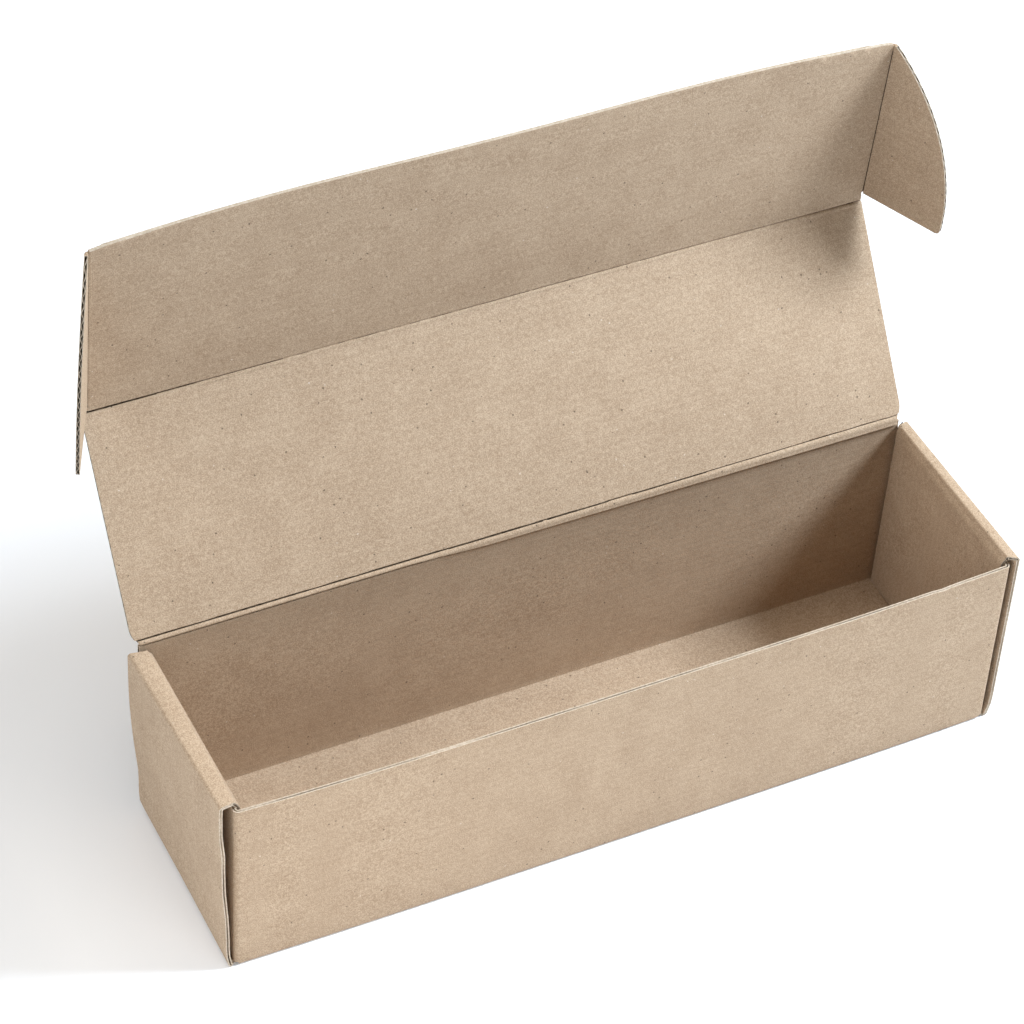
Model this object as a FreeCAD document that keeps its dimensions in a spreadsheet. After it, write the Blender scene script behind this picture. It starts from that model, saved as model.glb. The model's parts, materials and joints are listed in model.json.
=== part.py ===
import FreeCAD, Part
import os

import Sketcher

# Bottle shipping box, folded from one sheet of corrugated board. All lengths are millimetres.
# X runs along the box, Y from the front to the back, Z up.
# The origin is the middle of the underside of the base.
# The lid stands open, its tuck flap and the flap's two ears are part folded.

doc = FreeCAD.newDocument("bottle_shipping_box")

X_AXIS = FreeCAD.Vector(1, 0, 0)
Y_AXIS = FreeCAD.Vector(0, 1, 0)
Z_AXIS = FreeCAD.Vector(0, 0, 1)
QUARTER_TURN = 90

# The sketcher's names for an edge's first end, its second end and its centre, and for the
# sketch's own origin
START, END, CENTRE = 1, 2, 3
ORIGIN_POINT = (-1, 1)

# Driving dimensions
SIZES = {
    # The board and its folds
    "board": 1.6,
    "fold_radius": 0.5,
    "layer_gap": 0.2,
    # The tray
    "front_length": 349.2,
    "depth": 94.4,
    "front_height": 90.6,
    "end_height": 94.2,
    "tab_reach": 40,
    "tab_drop": 1.2,
    "tab_lift": 0.5,
    "end_setback": 0.3,
    "shoulder_reach": 1.9,
    "shoulder_height": 5,
    # The lock tabs that hold each inner end panel in the base
    "lock_width": 22,
    "lock_spacing": 48,
    "lock_clearance": 0.3,
    # The lid and its hinge crease
    "hinge_height": 96.6,
    "crease_gap": 0.2,
    "lid_reach": 95.9,
    "lid_width": 353,
    "lid_corner_run": 6,
    "lid_corner_inset": 2.2,
    "lid_angle": 55.94,
    # The tuck flap
    "flap_reach": 87.4,
    "flap_angle": 94.92,
    # The ears on the tuck flap
    "ear_gap": 0.3,
    "ear_reach": 38.8,
    "ear_arc_radius": 97,
    "ear_tip_radius": 2,
    "right_ear_angle": 62.49,
    "left_ear_angle": 64.35,
}

sheet = doc.addObject("Spreadsheet::Sheet", "Size")
for row, (alias, value) in enumerate(SIZES.items(), start=1):
    sheet.set(f"A{row}", alias)
    sheet.set(f"B{row}", str(value))
    sheet.setAlias(f"B{row}", alias)
doc.recompute()


# Places that several pieces share, as expressions on the sheet

BEND_RADIUS = "(Size.board + Size.fold_radius)"
FRONT_FACE = "(-Size.depth / 2)"
BACK_FACE = "(Size.depth / 2)"
TAB_FACE = "(Size.front_length / 2)"
TAB_TOP = "(Size.front_height - Size.tab_drop)"
TAB_BOTTOM = "(Size.board + Size.tab_lift)"
# The ears slide in between the corner tabs and the outer end panel
END_FACE = "(Size.front_length / 2 + 2 * Size.ear_gap + 2 * Size.board)"
BAY_FACE = "(Size.front_length / 2 - 2 * Size.board - Size.layer_gap)"
END_FRONT = FRONT_FACE
END_BACK = "(Size.depth / 2 - Size.board - Size.end_setback)"
INNER_FRONT = "(Size.board + Size.end_setback - Size.depth / 2)"
WALL_TOP = "(Size.hinge_height - Size.board / 2 - Size.crease_gap)"
EAR_AXIS = "(Size.front_length / 2 + Size.ear_gap + Size.board / 2)"
EAR_START = "(Size.hinge_height - Size.end_height + Size.board + Size.ear_gap)"


def bind(thing, expressions):
    """Tie properties of a thing to expressions on the sheet."""
    for path, expression in expressions.items():
        thing.setExpression(path, expression)


def value_of(expression):
    """The number that an expression on the sheet has now."""
    return float(sheet.evalExpression(expression))


def panel(name, x, y, z):
    """A flat stretch of board, given where it starts and ends along each axis."""
    box = doc.addObject("Part::Box", name)
    for side, axis, (start, end) in (("Length", "x", x), ("Width", "y", y), ("Height", "z", z)):
        bind(box, {f"Placement.Base.{axis}": start, side: f"{end} - {start}"})
    return box


def bend(name, centre, first, second, start, end):
    """A quarter fold of the board, between two panels that lie the ways first and second from
    its centre. The fold runs along the axis that is first cross second, from start to end."""
    run = first.cross(second)
    turn = FreeCAD.Rotation(first, second, run, "XYZ")
    run_axis = {(1, 0, 0): "x", (0, 1, 0): "y", (0, 0, 1): "z"}[tuple(round(c) for c in run)]
    rounds = []
    for layer, radius in (("outside", BEND_RADIUS), ("inside", "Size.fold_radius")):
        rod = doc.addObject("Part::Cylinder", f"{name}_{layer}")
        rod.Placement = FreeCAD.Placement(FreeCAD.Vector(), turn)
        place = dict(centre, **{run_axis: start})
        bind(rod, {f"Placement.Base.{axis}": at for axis, at in place.items()})
        bind(rod, {"Radius": radius, "Height": f"{end} - {start}"})
        rounds.append(rod)
    rounds[0].Angle = QUARTER_TURN
    ring = doc.addObject("Part::Cut", name)
    ring.Base, ring.Tool = rounds
    return ring


def fuse(name, pieces):
    """One solid from several that touch."""
    joined = doc.addObject("Part::MultiFuse", name)
    joined.Shapes = pieces
    joined.Refine = True
    return joined


def cut(name, base, tool):
    """A solid with another taken away."""
    rest = doc.addObject("Part::Cut", name)
    rest.Base, rest.Tool = base, tool
    return rest


# The tray: one half is built from its panels, then mirrored

def front_and_back():
    """The right half of the front and back walls, each with its fold and corner tab."""
    pieces = []
    plain_end = f"({TAB_FACE} - {BEND_RADIUS})"
    walls = (
        ("front", -Y_AXIS, FRONT_FACE, f"({FRONT_FACE} + Size.board)",
         f"({FRONT_FACE} + {BEND_RADIUS})", "Size.front_height"),
        ("back", Y_AXIS, BACK_FACE, f"({BACK_FACE} - Size.board)",
         f"({BACK_FACE} - {BEND_RADIUS})", WALL_TOP),
    )
    for side, way, outer, inner, fold_line, top in walls:
        across = (outer, inner) if side == "front" else (inner, outer)
        pieces.append(panel(f"{side}_wall", ("0", plain_end), across, (BEND_RADIUS, top)))
        ways = (way, -Z_AXIS) if side == "front" else (-Z_AXIS, way)
        pieces.append(bend(f"{side}_fold", {"y": fold_line, "z": BEND_RADIUS}, *ways,
                           "0", plain_end))
        ways = (way, X_AXIS) if side == "front" else (X_AXIS, way)
        pieces.append(bend(f"{side}_corner", {"x": plain_end, "y": fold_line}, *ways,
                           TAB_BOTTOM, TAB_TOP))
        tab_end = f"({outer} + Size.tab_reach)" if side == "front" else f"({outer} - Size.tab_reach)"
        along = (fold_line, tab_end) if side == "front" else (tab_end, fold_line)
        pieces.append(panel(f"{side}_tab", (f"({TAB_FACE} - Size.board)", TAB_FACE), along,
                            (TAB_BOTTOM, TAB_TOP)))
    # The back wall widens above its tabs, to meet the whole width of the lid
    shoulder_end = f"({TAB_FACE} + Size.shoulder_reach)"
    pieces.append(panel("back_shoulder", (f"({plain_end} - Size.board)", shoulder_end),
                        (f"({BACK_FACE} - Size.board)", BACK_FACE),
                        (f"({WALL_TOP} - Size.shoulder_height)", WALL_TOP)))
    # The front wall keeps its full height as far as the corner's outer face
    pieces.append(panel("front_corner_top", (f"({plain_end} - Size.board)", TAB_FACE),
                        (FRONT_FACE, f"({FRONT_FACE} + Size.board)"),
                        (TAB_TOP, "Size.front_height")))
    return pieces


def rolled_end():
    """The right end: an outer panel that folds up, a flat top, and an inner panel that goes
    back down to the base."""
    along = (END_FRONT, END_BACK)
    inner_along = (INNER_FRONT, END_BACK)
    outer_bend = f"({END_FACE} - {BEND_RADIUS})"
    inner_bend = f"({BAY_FACE} + {BEND_RADIUS})"
    top_bend = f"(Size.end_height - {BEND_RADIUS})"
    return [
        bend("end_fold", {"x": outer_bend, "z": BEND_RADIUS}, X_AXIS, -Z_AXIS, *along),
        panel("end_outer", (f"({END_FACE} - Size.board)", END_FACE), along,
              (BEND_RADIUS, top_bend)),
        bend("roll_outer", {"x": outer_bend, "z": top_bend}, Z_AXIS, X_AXIS, *along),
        panel("roll_top", (inner_bend, outer_bend), inner_along,
              ("(Size.end_height - Size.board)", "Size.end_height")),
        bend("roll_inner", {"x": inner_bend, "z": top_bend}, -X_AXIS, Z_AXIS, *inner_along),
        panel("end_inner", (BAY_FACE, f"({BAY_FACE} + Size.board)"), inner_along,
              ("Size.board", top_bend)),
    ]


def locked_base():
    """The right half of the base, with a slot for each lock tab, and the tabs in them."""
    base = panel("base_blank", ("0", f"({END_FACE} - {BEND_RADIUS})"),
                 (f"({FRONT_FACE} + {BEND_RADIUS})", f"({BACK_FACE} - {BEND_RADIUS})"),
                 ("0", "Size.board"))
    locks = []
    for side, sign in (("front", "-"), ("back", "")):
        middle = f"({sign}Size.lock_spacing / 2)"
        slot = panel(f"{side}_lock_slot",
                     (f"({BAY_FACE} - Size.lock_clearance)",
                      f"({BAY_FACE} + Size.board + Size.lock_clearance)"),
                     (f"({middle} - Size.lock_width / 2 - Size.lock_clearance)",
                      f"({middle} + Size.lock_width / 2 + Size.lock_clearance)"),
                     ("0", "Size.board"))
        base = cut(f"base_with_{side}_slot", base, slot)
        locks.append(panel(f"{side}_lock", (BAY_FACE, f"({BAY_FACE} + Size.board)"),
                           (f"({middle} - Size.lock_width / 2)",
                            f"({middle} + Size.lock_width / 2)"), ("0", "Size.board")))
    return [base] + locks


right_half = fuse("right_half", locked_base() + front_and_back() + rolled_end())
left_half = doc.addObject("Part::Mirroring", "left_half")
left_half.Source = right_half
left_half.Normal = X_AXIS
tray = fuse("tray", [right_half, left_half])
tray.Label = "tray"


# Panels that hinge: each lies flat in its own frame, with its crease along local X,
# its reach along local Y, and its thickness shared out above and below the crease

def sketch_on(body, name, role):
    """A sketch on one of the body's own origin planes."""
    sketch = body.newObject("Sketcher::SketchObject", name)
    plane = next(f for f in body.Origin.OriginFeatures if f.Role == role)
    sketch.AttachmentSupport = (plane, "")
    sketch.MapMode = "FlatFace"
    return sketch


def hold(sketch, name, kind, *place_and_expression):
    """Add a named dimension to a sketch and tie it to an expression."""
    *place, expression = place_and_expression
    key = sketch.addConstraint(Sketcher.Constraint(kind, *place, value_of(expression)))
    sketch.renameConstraint(key, name)
    sketch.setExpression(f"Constraints.{name}", expression)


def arc_between(start, end, radius):
    """A bulging arc, anticlockwise from start to end."""
    chord = end - start
    inward = FreeCAD.Vector(-chord.y, chord.x, 0).normalize()
    depth = (radius ** 2 - chord.Length ** 2 / 4) ** 0.5
    middle = (start + end) / 2
    centre = middle + inward * depth
    crown = centre - inward * radius
    return Part.Arc(start, crown, end)


def outline(body, name, corners, arc_after=None, arc_radius=None):
    """A closed sketch through corners that are pairs of expressions, given anticlockwise.
    The edge that follows corner arc_after is an arc."""
    sketch = sketch_on(body, name, "XY_Plane")
    points = [FreeCAD.Vector(value_of(x), value_of(y), 0) for x, y in corners]
    for index, point in enumerate(points):
        following = points[(index + 1) % len(points)]
        if index == arc_after:
            sketch.addGeometry(arc_between(point, following, value_of(arc_radius)), False)
        else:
            sketch.addGeometry(Part.LineSegment(point, following), False)
    for index, (x, y) in enumerate(corners):
        following = (index + 1) % len(corners)
        sketch.addConstraint(Sketcher.Constraint("Coincident", index, END, following, START))
        hold(sketch, f"corner_{index}_x", "DistanceX", *ORIGIN_POINT, index, START, x)
        hold(sketch, f"corner_{index}_y", "DistanceY", *ORIGIN_POINT, index, START, y)
    if arc_radius:
        hold(sketch, "arc_radius", "Radius", arc_after, arc_radius)
    return sketch


def board_pad(body, name, sketch):
    """Board as thick as the sheet says, half of it on each side of its sketch."""
    pad = body.newObject("PartDesign::Pad", name)
    pad.Profile = sketch
    pad.SideType = "Symmetric"
    pad.setExpression("Length", "Size.board")
    return pad


def crease_root(body, name, start, end):
    """The rounded root of a panel, about its crease's axis."""
    sketch = sketch_on(body, f"{name}_section", "YZ_Plane")
    sketch.addGeometry(Part.Circle(FreeCAD.Vector(), Z_AXIS, value_of("Size.board / 2")), False)
    sketch.addConstraint(Sketcher.Constraint("Coincident", 0, CENTRE, *ORIGIN_POINT))
    hold(sketch, "round", "Radius", 0, "Size.board / 2")
    sketch.setExpression("AttachmentOffset.Base.z", start)
    root = body.newObject("PartDesign::Pad", name)
    root.Profile = sketch
    root.setExpression("Length", f"{end} - {start}")
    return root


def round_corner(body, name, pad, x, y, radius):
    """Round the corner of a board that stands at a place given by two expressions."""
    doc.recompute()
    at = FreeCAD.Vector(value_of(x), value_of(y), 0)
    edges = [f"Edge{number}" for number, edge in enumerate(pad.Shape.Edges, start=1)
             if (edge.CenterOfMass - at).Length < value_of("Size.board") / 2]
    fillet = body.newObject("PartDesign::Fillet", name)
    fillet.Base = (pad, edges)
    fillet.setExpression("Radius", radius)
    return fillet


def new_body(name):
    """A body whose label names its file."""
    body = doc.addObject("PartDesign::Body", name)
    body.Label = name
    return body


def make_lid():
    """The lid, with the corners by its hinge cut away a little."""
    body = new_body("lid")
    side = "(Size.lid_width / 2)"
    root_side = f"({side} - Size.lid_corner_inset)"
    far = "(Size.lid_reach - Size.board / 2 - Size.crease_gap)"
    corners = [
        (f"(-{root_side})", "0"), (root_side, "0"), (side, "Size.lid_corner_run"),
        (side, far), (f"(-{side})", far), (f"(-{side})", "Size.lid_corner_run"),
    ]
    board_pad(body, "lid_board", outline(body, "lid_outline", corners))
    crease_root(body, "lid_root", f"(-{root_side})", root_side)
    return body


def make_tuck_flap():
    """The flap that tucks down in front of the front wall. It stops short of its ears."""
    body = new_body("tuck_flap")
    side = f"({EAR_AXIS} - Size.board / 2 - Size.crease_gap)"
    corners = [
        (f"(-{side})", "0"), (side, "0"), (side, "Size.flap_reach"),
        (f"(-{side})", "Size.flap_reach"),
    ]
    board_pad(body, "flap_board", outline(body, "flap_outline", corners))
    crease_root(body, "flap_root", f"(-{side})", side)
    return body


def make_ear(name):
    """An ear of the tuck flap. Local X runs down the flap, from the lid to its free edge."""
    body = new_body(name)
    corners = [(EAR_START, "0"), ("Size.flap_reach", "0"), (EAR_START, "Size.ear_reach")]
    sketch = outline(body, f"{name}_outline", corners, 1, "Size.ear_arc_radius")
    pad = board_pad(body, f"{name}_board", sketch)
    round_corner(body, f"{name}_tip", pad, EAR_START, "Size.ear_reach", "Size.ear_tip_radius")
    crease_root(body, f"{name}_root", EAR_START, "Size.flap_reach")
    return body


def size(name):
    """A size from the sheet."""
    return value_of(f"Size.{name}")


def turned(first, second):
    """The rotation that takes local X to first and local Y to second."""
    return FreeCAD.Rotation(first, second, first.cross(second), "XYZ")


def way_at(angle):
    """The way that points up from +Y by an angle, across the box."""
    return FreeCAD.Rotation(X_AXIS, angle).multVec(Y_AXIS)


lid = make_lid()
tuck_flap = make_tuck_flap()
ears = {1: make_ear("ear_right"), -1: make_ear("ear_left")}

# The hinge crease runs over the middle of the back wall's thickness
hinge = FreeCAD.Vector(0, size("depth") / 2 - size("board") / 2, size("hinge_height"))
lid_way = way_at(size("lid_angle"))
lid.Placement = FreeCAD.Placement(hinge, turned(X_AXIS, lid_way))

# The tuck crease is the lid's far edge
tuck = hinge + lid_way * size("lid_reach")
flap_way = way_at(size("flap_angle"))
tuck_flap.Placement = FreeCAD.Placement(tuck, turned(X_AXIS, flap_way))

# Each ear folds from flat, in line with the flap, towards the flap's inner face
flap_inner = X_AXIS.cross(flap_way)
for sign, angle in ((1, size("right_ear_angle")), (-1, size("left_ear_angle"))):
    ear_way = FreeCAD.Rotation(flap_way, -sign * angle).multVec(X_AXIS * sign)
    root = tuck + X_AXIS * sign * value_of(EAR_AXIS)
    ears[sign].Placement = FreeCAD.Placement(root, turned(flap_way, ear_way))

doc.recompute()

# Check every object, then write one file for each piece

for thing in doc.Objects:
    if "Invalid" in thing.State or "Error" in thing.State:
        raise RuntimeError(f"{thing.Name} failed: {thing.State}")

nodes = [tray, lid, tuck_flap, *ears.values()]
for node in nodes:
    if node.Shape.isNull() or not node.Shape.isValid() or len(node.Shape.Solids) != 1:
        raise RuntimeError(f"{node.Label} is not one valid solid")

for ear in ears.values():
    if (ear.Placement.Rotation.multVec(Y_AXIS)).dot(flap_inner) <= 0:
        raise RuntimeError(f"{ear.Label} folds the wrong way")

os.makedirs("parts", exist_ok=True)
for node in nodes:
    node.Shape.exportStep(f"parts/{node.Label}.step")
    box = node.Shape.BoundBox
    print(f"{node.Label}: volume {node.Shape.Volume:.1f}, "
          f"{box.XLength:.2f} x {box.YLength:.2f} x {box.ZLength:.2f}")
print("hinge axis", hinge)
print("tuck axis", tuck)
print("flap way", flap_way)
print("ear axis", value_of(EAR_AXIS), "ear start", value_of(EAR_START))
print("faces", [value_of(f) for f in (END_FACE, BAY_FACE, TAB_FACE, WALL_TOP)])
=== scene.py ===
"""Looks of a bottle shipping box, folded from one sheet of brown recycled corrugated board.

Each board panel is modelled as what it is: a sheet with two liners and fluted paper between them.
Its cut edges are open, so the liners stand out as two thin lips with the flutes behind them.
The sheet's creases bend with the lid, the tuck flap and its ears.
"""

import json
import logging
import math
from dataclasses import dataclass, replace
from enum import Enum
from typing import Callable, Iterable, Optional, Sequence

import bmesh
import bpy
from mathutils import Matrix, Vector, noise

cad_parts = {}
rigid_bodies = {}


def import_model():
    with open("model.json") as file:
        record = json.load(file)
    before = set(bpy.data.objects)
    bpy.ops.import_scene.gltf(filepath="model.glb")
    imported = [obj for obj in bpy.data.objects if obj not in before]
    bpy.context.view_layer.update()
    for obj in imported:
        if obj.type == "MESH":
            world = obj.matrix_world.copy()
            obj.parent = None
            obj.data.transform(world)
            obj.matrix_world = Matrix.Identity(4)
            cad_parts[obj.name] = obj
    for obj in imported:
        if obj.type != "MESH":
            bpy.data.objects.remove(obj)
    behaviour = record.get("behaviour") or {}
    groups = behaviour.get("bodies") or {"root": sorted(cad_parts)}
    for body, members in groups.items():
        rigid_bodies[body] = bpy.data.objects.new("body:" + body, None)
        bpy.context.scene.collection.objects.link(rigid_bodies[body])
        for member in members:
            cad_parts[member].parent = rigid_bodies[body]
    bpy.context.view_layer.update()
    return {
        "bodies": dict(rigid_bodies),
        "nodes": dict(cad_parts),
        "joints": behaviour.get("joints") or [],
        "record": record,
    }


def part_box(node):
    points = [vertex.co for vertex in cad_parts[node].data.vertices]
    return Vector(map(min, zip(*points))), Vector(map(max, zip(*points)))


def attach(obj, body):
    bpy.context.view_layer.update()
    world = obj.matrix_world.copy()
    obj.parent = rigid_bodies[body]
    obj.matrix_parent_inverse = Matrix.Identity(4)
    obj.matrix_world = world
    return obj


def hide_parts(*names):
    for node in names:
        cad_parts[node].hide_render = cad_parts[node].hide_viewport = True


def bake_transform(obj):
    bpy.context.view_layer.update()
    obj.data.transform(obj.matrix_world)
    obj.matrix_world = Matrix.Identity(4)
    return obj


MM = 0.001
X_AXIS = Vector((1, 0, 0))
Y_AXIS = Vector((0, 1, 0))
Z_AXIS = Vector((0, 0, 1))
TOUCH = 0.02 * MM
LONG_CREASE = 350 * MM
ACROSS = "across_flutes"
RIM_MARK = "rim"

Pair = tuple[float, float]
Place = Callable[[float, float], Vector]

log = logging.getLogger("bottle_shipping_box")


class Skin(Enum):
    """The material slots of a board mesh, in order."""

    LINER = 0
    CUT = 1
    # The fluting paper, darkened as painted shade for open-edge voids, crushed-edge lines and
    # crease grooves.
    FLUTE = 2


class Side(Enum):
    """The two faces of a board, by the way their normals point."""

    INNER = 1
    OUTER = -1


class Rim(Enum):
    """What a panel's edge is."""

    OPEN = "cut across the flutes, so they show"
    CRUSHED = "cut along the flutes, and pressed nearly shut by the knife"
    ROUND = "pressed shut and round"
    CREASE = "no edge, because the board goes on round a crease"


@dataclass(frozen=True)
class Board:
    """The sizes of the corrugated board, in metres.

    Args:
        thickness: over both liners.
        liner: one liner.
        pitch: from one flute to the next.
        open_depth: how far an open edge can be seen into.
        crushed_line: the width of the line between the liners of a crushed edge.
        crushed_depth: how deep that line is.
        crease_gap: between two panels at a crease.
        step: the longest stretch of panel between two rows of its mesh.
        fold_radius: the inner radius of a fold.
        medium: the fluting paper as it shows in an open edge.
        wave_room: between the flutes and each liner.
        wave_setback: how far the flutes stand back in an open edge.
        wave_overlap: how far they go on behind what is seen of them.
        wave_steps: the points of one flute.
    """

    thickness: float = 1.6 * MM
    liner: float = 0.3 * MM
    pitch: float = 4.0 * MM
    open_depth: float = 2.0 * MM
    crushed_line: float = 0.6 * MM
    crushed_depth: float = 1.3 * MM
    crease_gap: float = 0.2 * MM
    step: float = 5 * MM
    fold_radius: float = 0.5 * MM
    medium: float = 0.24 * MM
    wave_room: float = 0.1 * MM
    wave_setback: float = 0.05 * MM
    wave_overlap: float = 0.3 * MM
    wave_steps: int = 12

    @property
    def half(self) -> float:
        """Half the board's thickness."""
        return self.thickness / 2

    @property
    def fold_middle(self) -> float:
        """The radius of a fold at the middle of the board's thickness."""
        return self.fold_radius + self.half

    @property
    def fold_outer(self) -> float:
        """The radius of a fold at its outside."""
        return self.fold_radius + self.thickness


# Sums, colours and nodes

def clamp(value: float) -> float:
    """Keep a value between 0 and 1."""
    return max(0.0, min(1.0, value))


def ripple(point: Vector, size: float, seed: float) -> float:
    """Smooth noise from -1 to 1 that varies over a size, in metres."""
    return noise.noise(point / size + Vector((seed, seed * 1.7, -seed)))


def linear(code: str) -> tuple[float, float, float, float]:
    """Turn an sRGB hex colour to linear values.

    Args:
        code: six hex digits.

    Returns:
        Red, green, blue and an alpha of 1.
    """
    parts = [int(code[i:i + 2], 16) / 255 for i in (0, 2, 4)]
    curve = [p / 12.92 if p <= 0.04045 else ((p + 0.055) / 1.055) ** 2.4 for p in parts]
    return (*curve, 1.0)


class Recipe:
    """The nodes of one material, built up a node at a time."""

    def __init__(self, name: str) -> None:
        """Start a material with its surface shader and the places on the piece.

        Args:
            name: the material's name.
        """
        self.material = bpy.data.materials.new(name)
        self.material.use_nodes = True
        self.tree = self.material.node_tree
        self.shader = self.tree.nodes["Principled BSDF"]
        self.place = self.add("ShaderNodeTexCoord").outputs["Object"]

    def plug(self, socket: bpy.types.NodeSocket, value) -> None:
        """Link an input to another node's output, or give it a value."""
        if isinstance(value, bpy.types.NodeSocket):
            self.tree.links.new(value, socket)
        else:
            socket.default_value = value

    def add(self, kind: str, settings: Optional[dict] = None, **links) -> bpy.types.Node:
        """Add a node.

        Args:
            kind: the node's type.
            settings: values of the node's own properties.
            links: a value or another node's output for each input, by its name, with spaces
                as underscores, or in_0 for an input by its number.

        Returns:
            The node.
        """
        node = self.tree.nodes.new(kind)
        for key, value in (settings or {}).items():
            setattr(node, key, value)
        for key, value in links.items():
            place = int(key[3:]) if key.startswith("in_") else key.replace("_", " ")
            self.plug(node.inputs[place], value)
        return node

    def noise(self, grain: float, detail: float = 2.0,
              seed: Optional[float] = None) -> bpy.types.Node:
        """Add noise over the piece.

        Args:
            grain: the size of its grains, in metres.
            detail: how much finer detail it has.
            seed: its own number, where it has to differ from other noise.

        Returns:
            The node.
        """
        settings = {} if seed is None else {"noise_dimensions": "4D"}
        own = {} if seed is None else {"W": seed}
        return self.add("ShaderNodeTexNoise", settings, Vector=self.place, Scale=1 / grain,
                        Detail=detail, **own)

    def ramp(self, source: bpy.types.NodeSocket, stops: Sequence[tuple]) -> bpy.types.NodeSocket:
        """Turn a value to a colour.

        Args:
            source: the value.
            stops: places and hex colours or grey values.

        Returns:
            The colour.
        """
        node = self.add("ShaderNodeValToRGB", in_0=source)
        elements = node.color_ramp.elements
        while len(elements) < len(stops):
            elements.new(0.5)
        for element, (place, colour) in zip(elements, stops):
            element.position = place
            element.color = linear(colour) if isinstance(colour, str) else (*[colour] * 3, 1)
        return node.outputs["Color"]

    def mix(self, kind: str, factor, first, second) -> bpy.types.NodeSocket:
        """Blend two colours or sockets in a way of that kind, with a factor of the second."""
        settings = {"data_type": "RGBA", "blend_type": kind}
        return self.add("ShaderNodeMix", settings, in_0=factor, in_6=first,
                        in_7=second).outputs[2]

    def maths(self, operation: str, first, second=0.0) -> bpy.types.NodeSocket:
        """Work out one sum of two numbers or sockets."""
        return self.add("ShaderNodeMath", {"operation": operation}, in_0=first,
                        in_1=second).outputs[0]

    def set(self, **values) -> None:
        """Set or link inputs of the surface shader, by name, with spaces as underscores."""
        for key, value in values.items():
            self.plug(self.shader.inputs[key.replace("_", " ")], value)

    def relief(self, height: bpy.types.NodeSocket, strength: float,
               depth: float) -> bpy.types.NodeSocket:
        """Turn heights to a bumpy surface's normal, by the bump's strength and depth."""
        return self.add("ShaderNodeBump", Strength=strength, Distance=depth,
                        Height=height).outputs["Normal"]


@dataclass(frozen=True)
class Specks:
    """Sparse dots in the paper, one at most in each cell of a few millimetres.

    Args:
        colour: their colour.
        cell: the size of a cell, in metres.
        radius: a dot's radius, as a share of a cell.
        share: how many of the cells have one.
        shift: moves the cells, so that two kinds of dots don't meet.
        strength: how much of the dots' colour shows.
        fray: how ragged their edges are, in metres.
        fray_grain: the size of those rags, in metres.
    """

    colour: str
    cell: float
    radius: float
    share: float
    shift: float
    strength: float
    fray: float = 0.7 * MM
    fray_grain: float = 0.5 * MM

    def over(self, r: Recipe, colour: bpy.types.NodeSocket) -> bpy.types.NodeSocket:
        """Put the dots on a colour.

        Args:
            r: the material's recipe.
            colour: the paper's colour.

        Returns:
            The colour with the dots.
        """
        bent = r.add("ShaderNodeVectorMath", {"operation": "MULTIPLY_ADD"},
                     in_0=r.noise(self.fray_grain).outputs["Color"], in_1=(self.fray,) * 3,
                     in_2=r.place).outputs[0]
        moved = r.add("ShaderNodeMapping", Vector=bent, Location=(self.shift,) * 3)
        cells = r.add("ShaderNodeTexVoronoi", {"feature": "F1"},
                      Vector=moved.outputs["Vector"], Scale=1 / self.cell)
        dot = r.maths("LESS_THAN", cells.outputs["Distance"], self.radius)
        chance = r.add("ShaderNodeSeparateColor", Color=cells.outputs["Color"]).outputs[0]
        mask = r.maths("MULTIPLY", dot, r.maths("LESS_THAN", chance, self.share))
        return r.mix("MIX", r.maths("MULTIPLY", mask, self.strength), colour,
                     linear(self.colour))


@dataclass(frozen=True)
class KraftLiner:
    """Recycled kraft liner, calendered and uncoated: a matt grey brown with short fibres pressed
    flat in it, cloudy from uneven stock, with a few dark and pale specks of old print and pulp,
    and the flutes behind it showing through as a faint washboard.

    Args:
        light: the paper's pale stock.
        dark: the paper's dark stock.
        stock: the grain in metres, the detail and the weight of its clouds, of its clumps of
            fibre and of its fibres.
        spread: the mixed noise's values at the dark and at the light stock.
        specks: the dots in it.
        pitch: the flutes' pitch, in metres.
        washboard: how much painted light and shade the flutes' washboard ripple puts in the
            colour.
        wave_relief: how much of the relief is the flutes'.
        fibre_relief: how much of it is the fibres'.
    """

    light: str = "C5AD92"
    dark: str = "9D8369"
    stock: tuple = ((14 * MM, 3, 0.14), (1.6 * MM, 3, 0.2), (0.48 * MM, 1, 0.66))
    spread: Pair = (0.37, 0.63)
    specks: tuple[Specks, ...] = (Specks("5A4A3A", 3.0 * MM, 0.14, 0.12, 0.0, 0.75),
                                  Specks("EADFCF", 3.1 * MM, 0.1, 0.05, 0.7, 0.5))
    pitch: float = 3.6 * MM
    washboard: float = 0.018
    wave_relief: float = 0.25
    fibre_relief: float = 0.5

    def material(self) -> bpy.types.Material:
        """Build the material.

        Returns:
            The material.
        """
        r = Recipe("recycled_kraft_liner")
        grains = [r.noise(size, detail, seed).outputs["Fac"]
                  for seed, (size, detail, _) in enumerate(self.stock, 1)]
        clouds, clumps, fibres = (r.maths("MULTIPLY", grain, weight)
                                  for grain, (_, _, weight) in zip(grains, self.stock))
        mixed = r.maths("ADD", r.maths("ADD", clouds, clumps), fibres)
        colour = r.ramp(mixed, list(zip(self.spread, (self.dark, self.light))))
        for specks in self.specks:
            colour = specks.over(r, colour)

        # The washboard of the flutes, by the distance across them: a bump, and painted light and
        # shade in the colour along its ripple
        across = r.add("ShaderNodeAttribute", {"attribute_name": ACROSS}).outputs["Fac"]
        wave = r.maths("SINE", r.maths("MULTIPLY", across, 2 * math.pi / self.pitch))
        shade = r.maths("ADD", r.maths("MULTIPLY", wave, self.washboard), 1.0)
        grey = r.add("ShaderNodeCombineColor", in_0=shade, in_1=shade, in_2=shade)
        colour = r.mix("MULTIPLY", 1.0, colour, grey.outputs[0])
        height = r.maths("ADD", r.maths("MULTIPLY", wave, self.wave_relief),
                         r.maths("MULTIPLY", grains[-1], self.fibre_relief))
        r.set(Base_Color=colour, Roughness=0.86, Specular_IOR_Level=0.25,
              Normal=r.relief(height, 0.35, 0.12 * MM))
        return r.material


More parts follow.
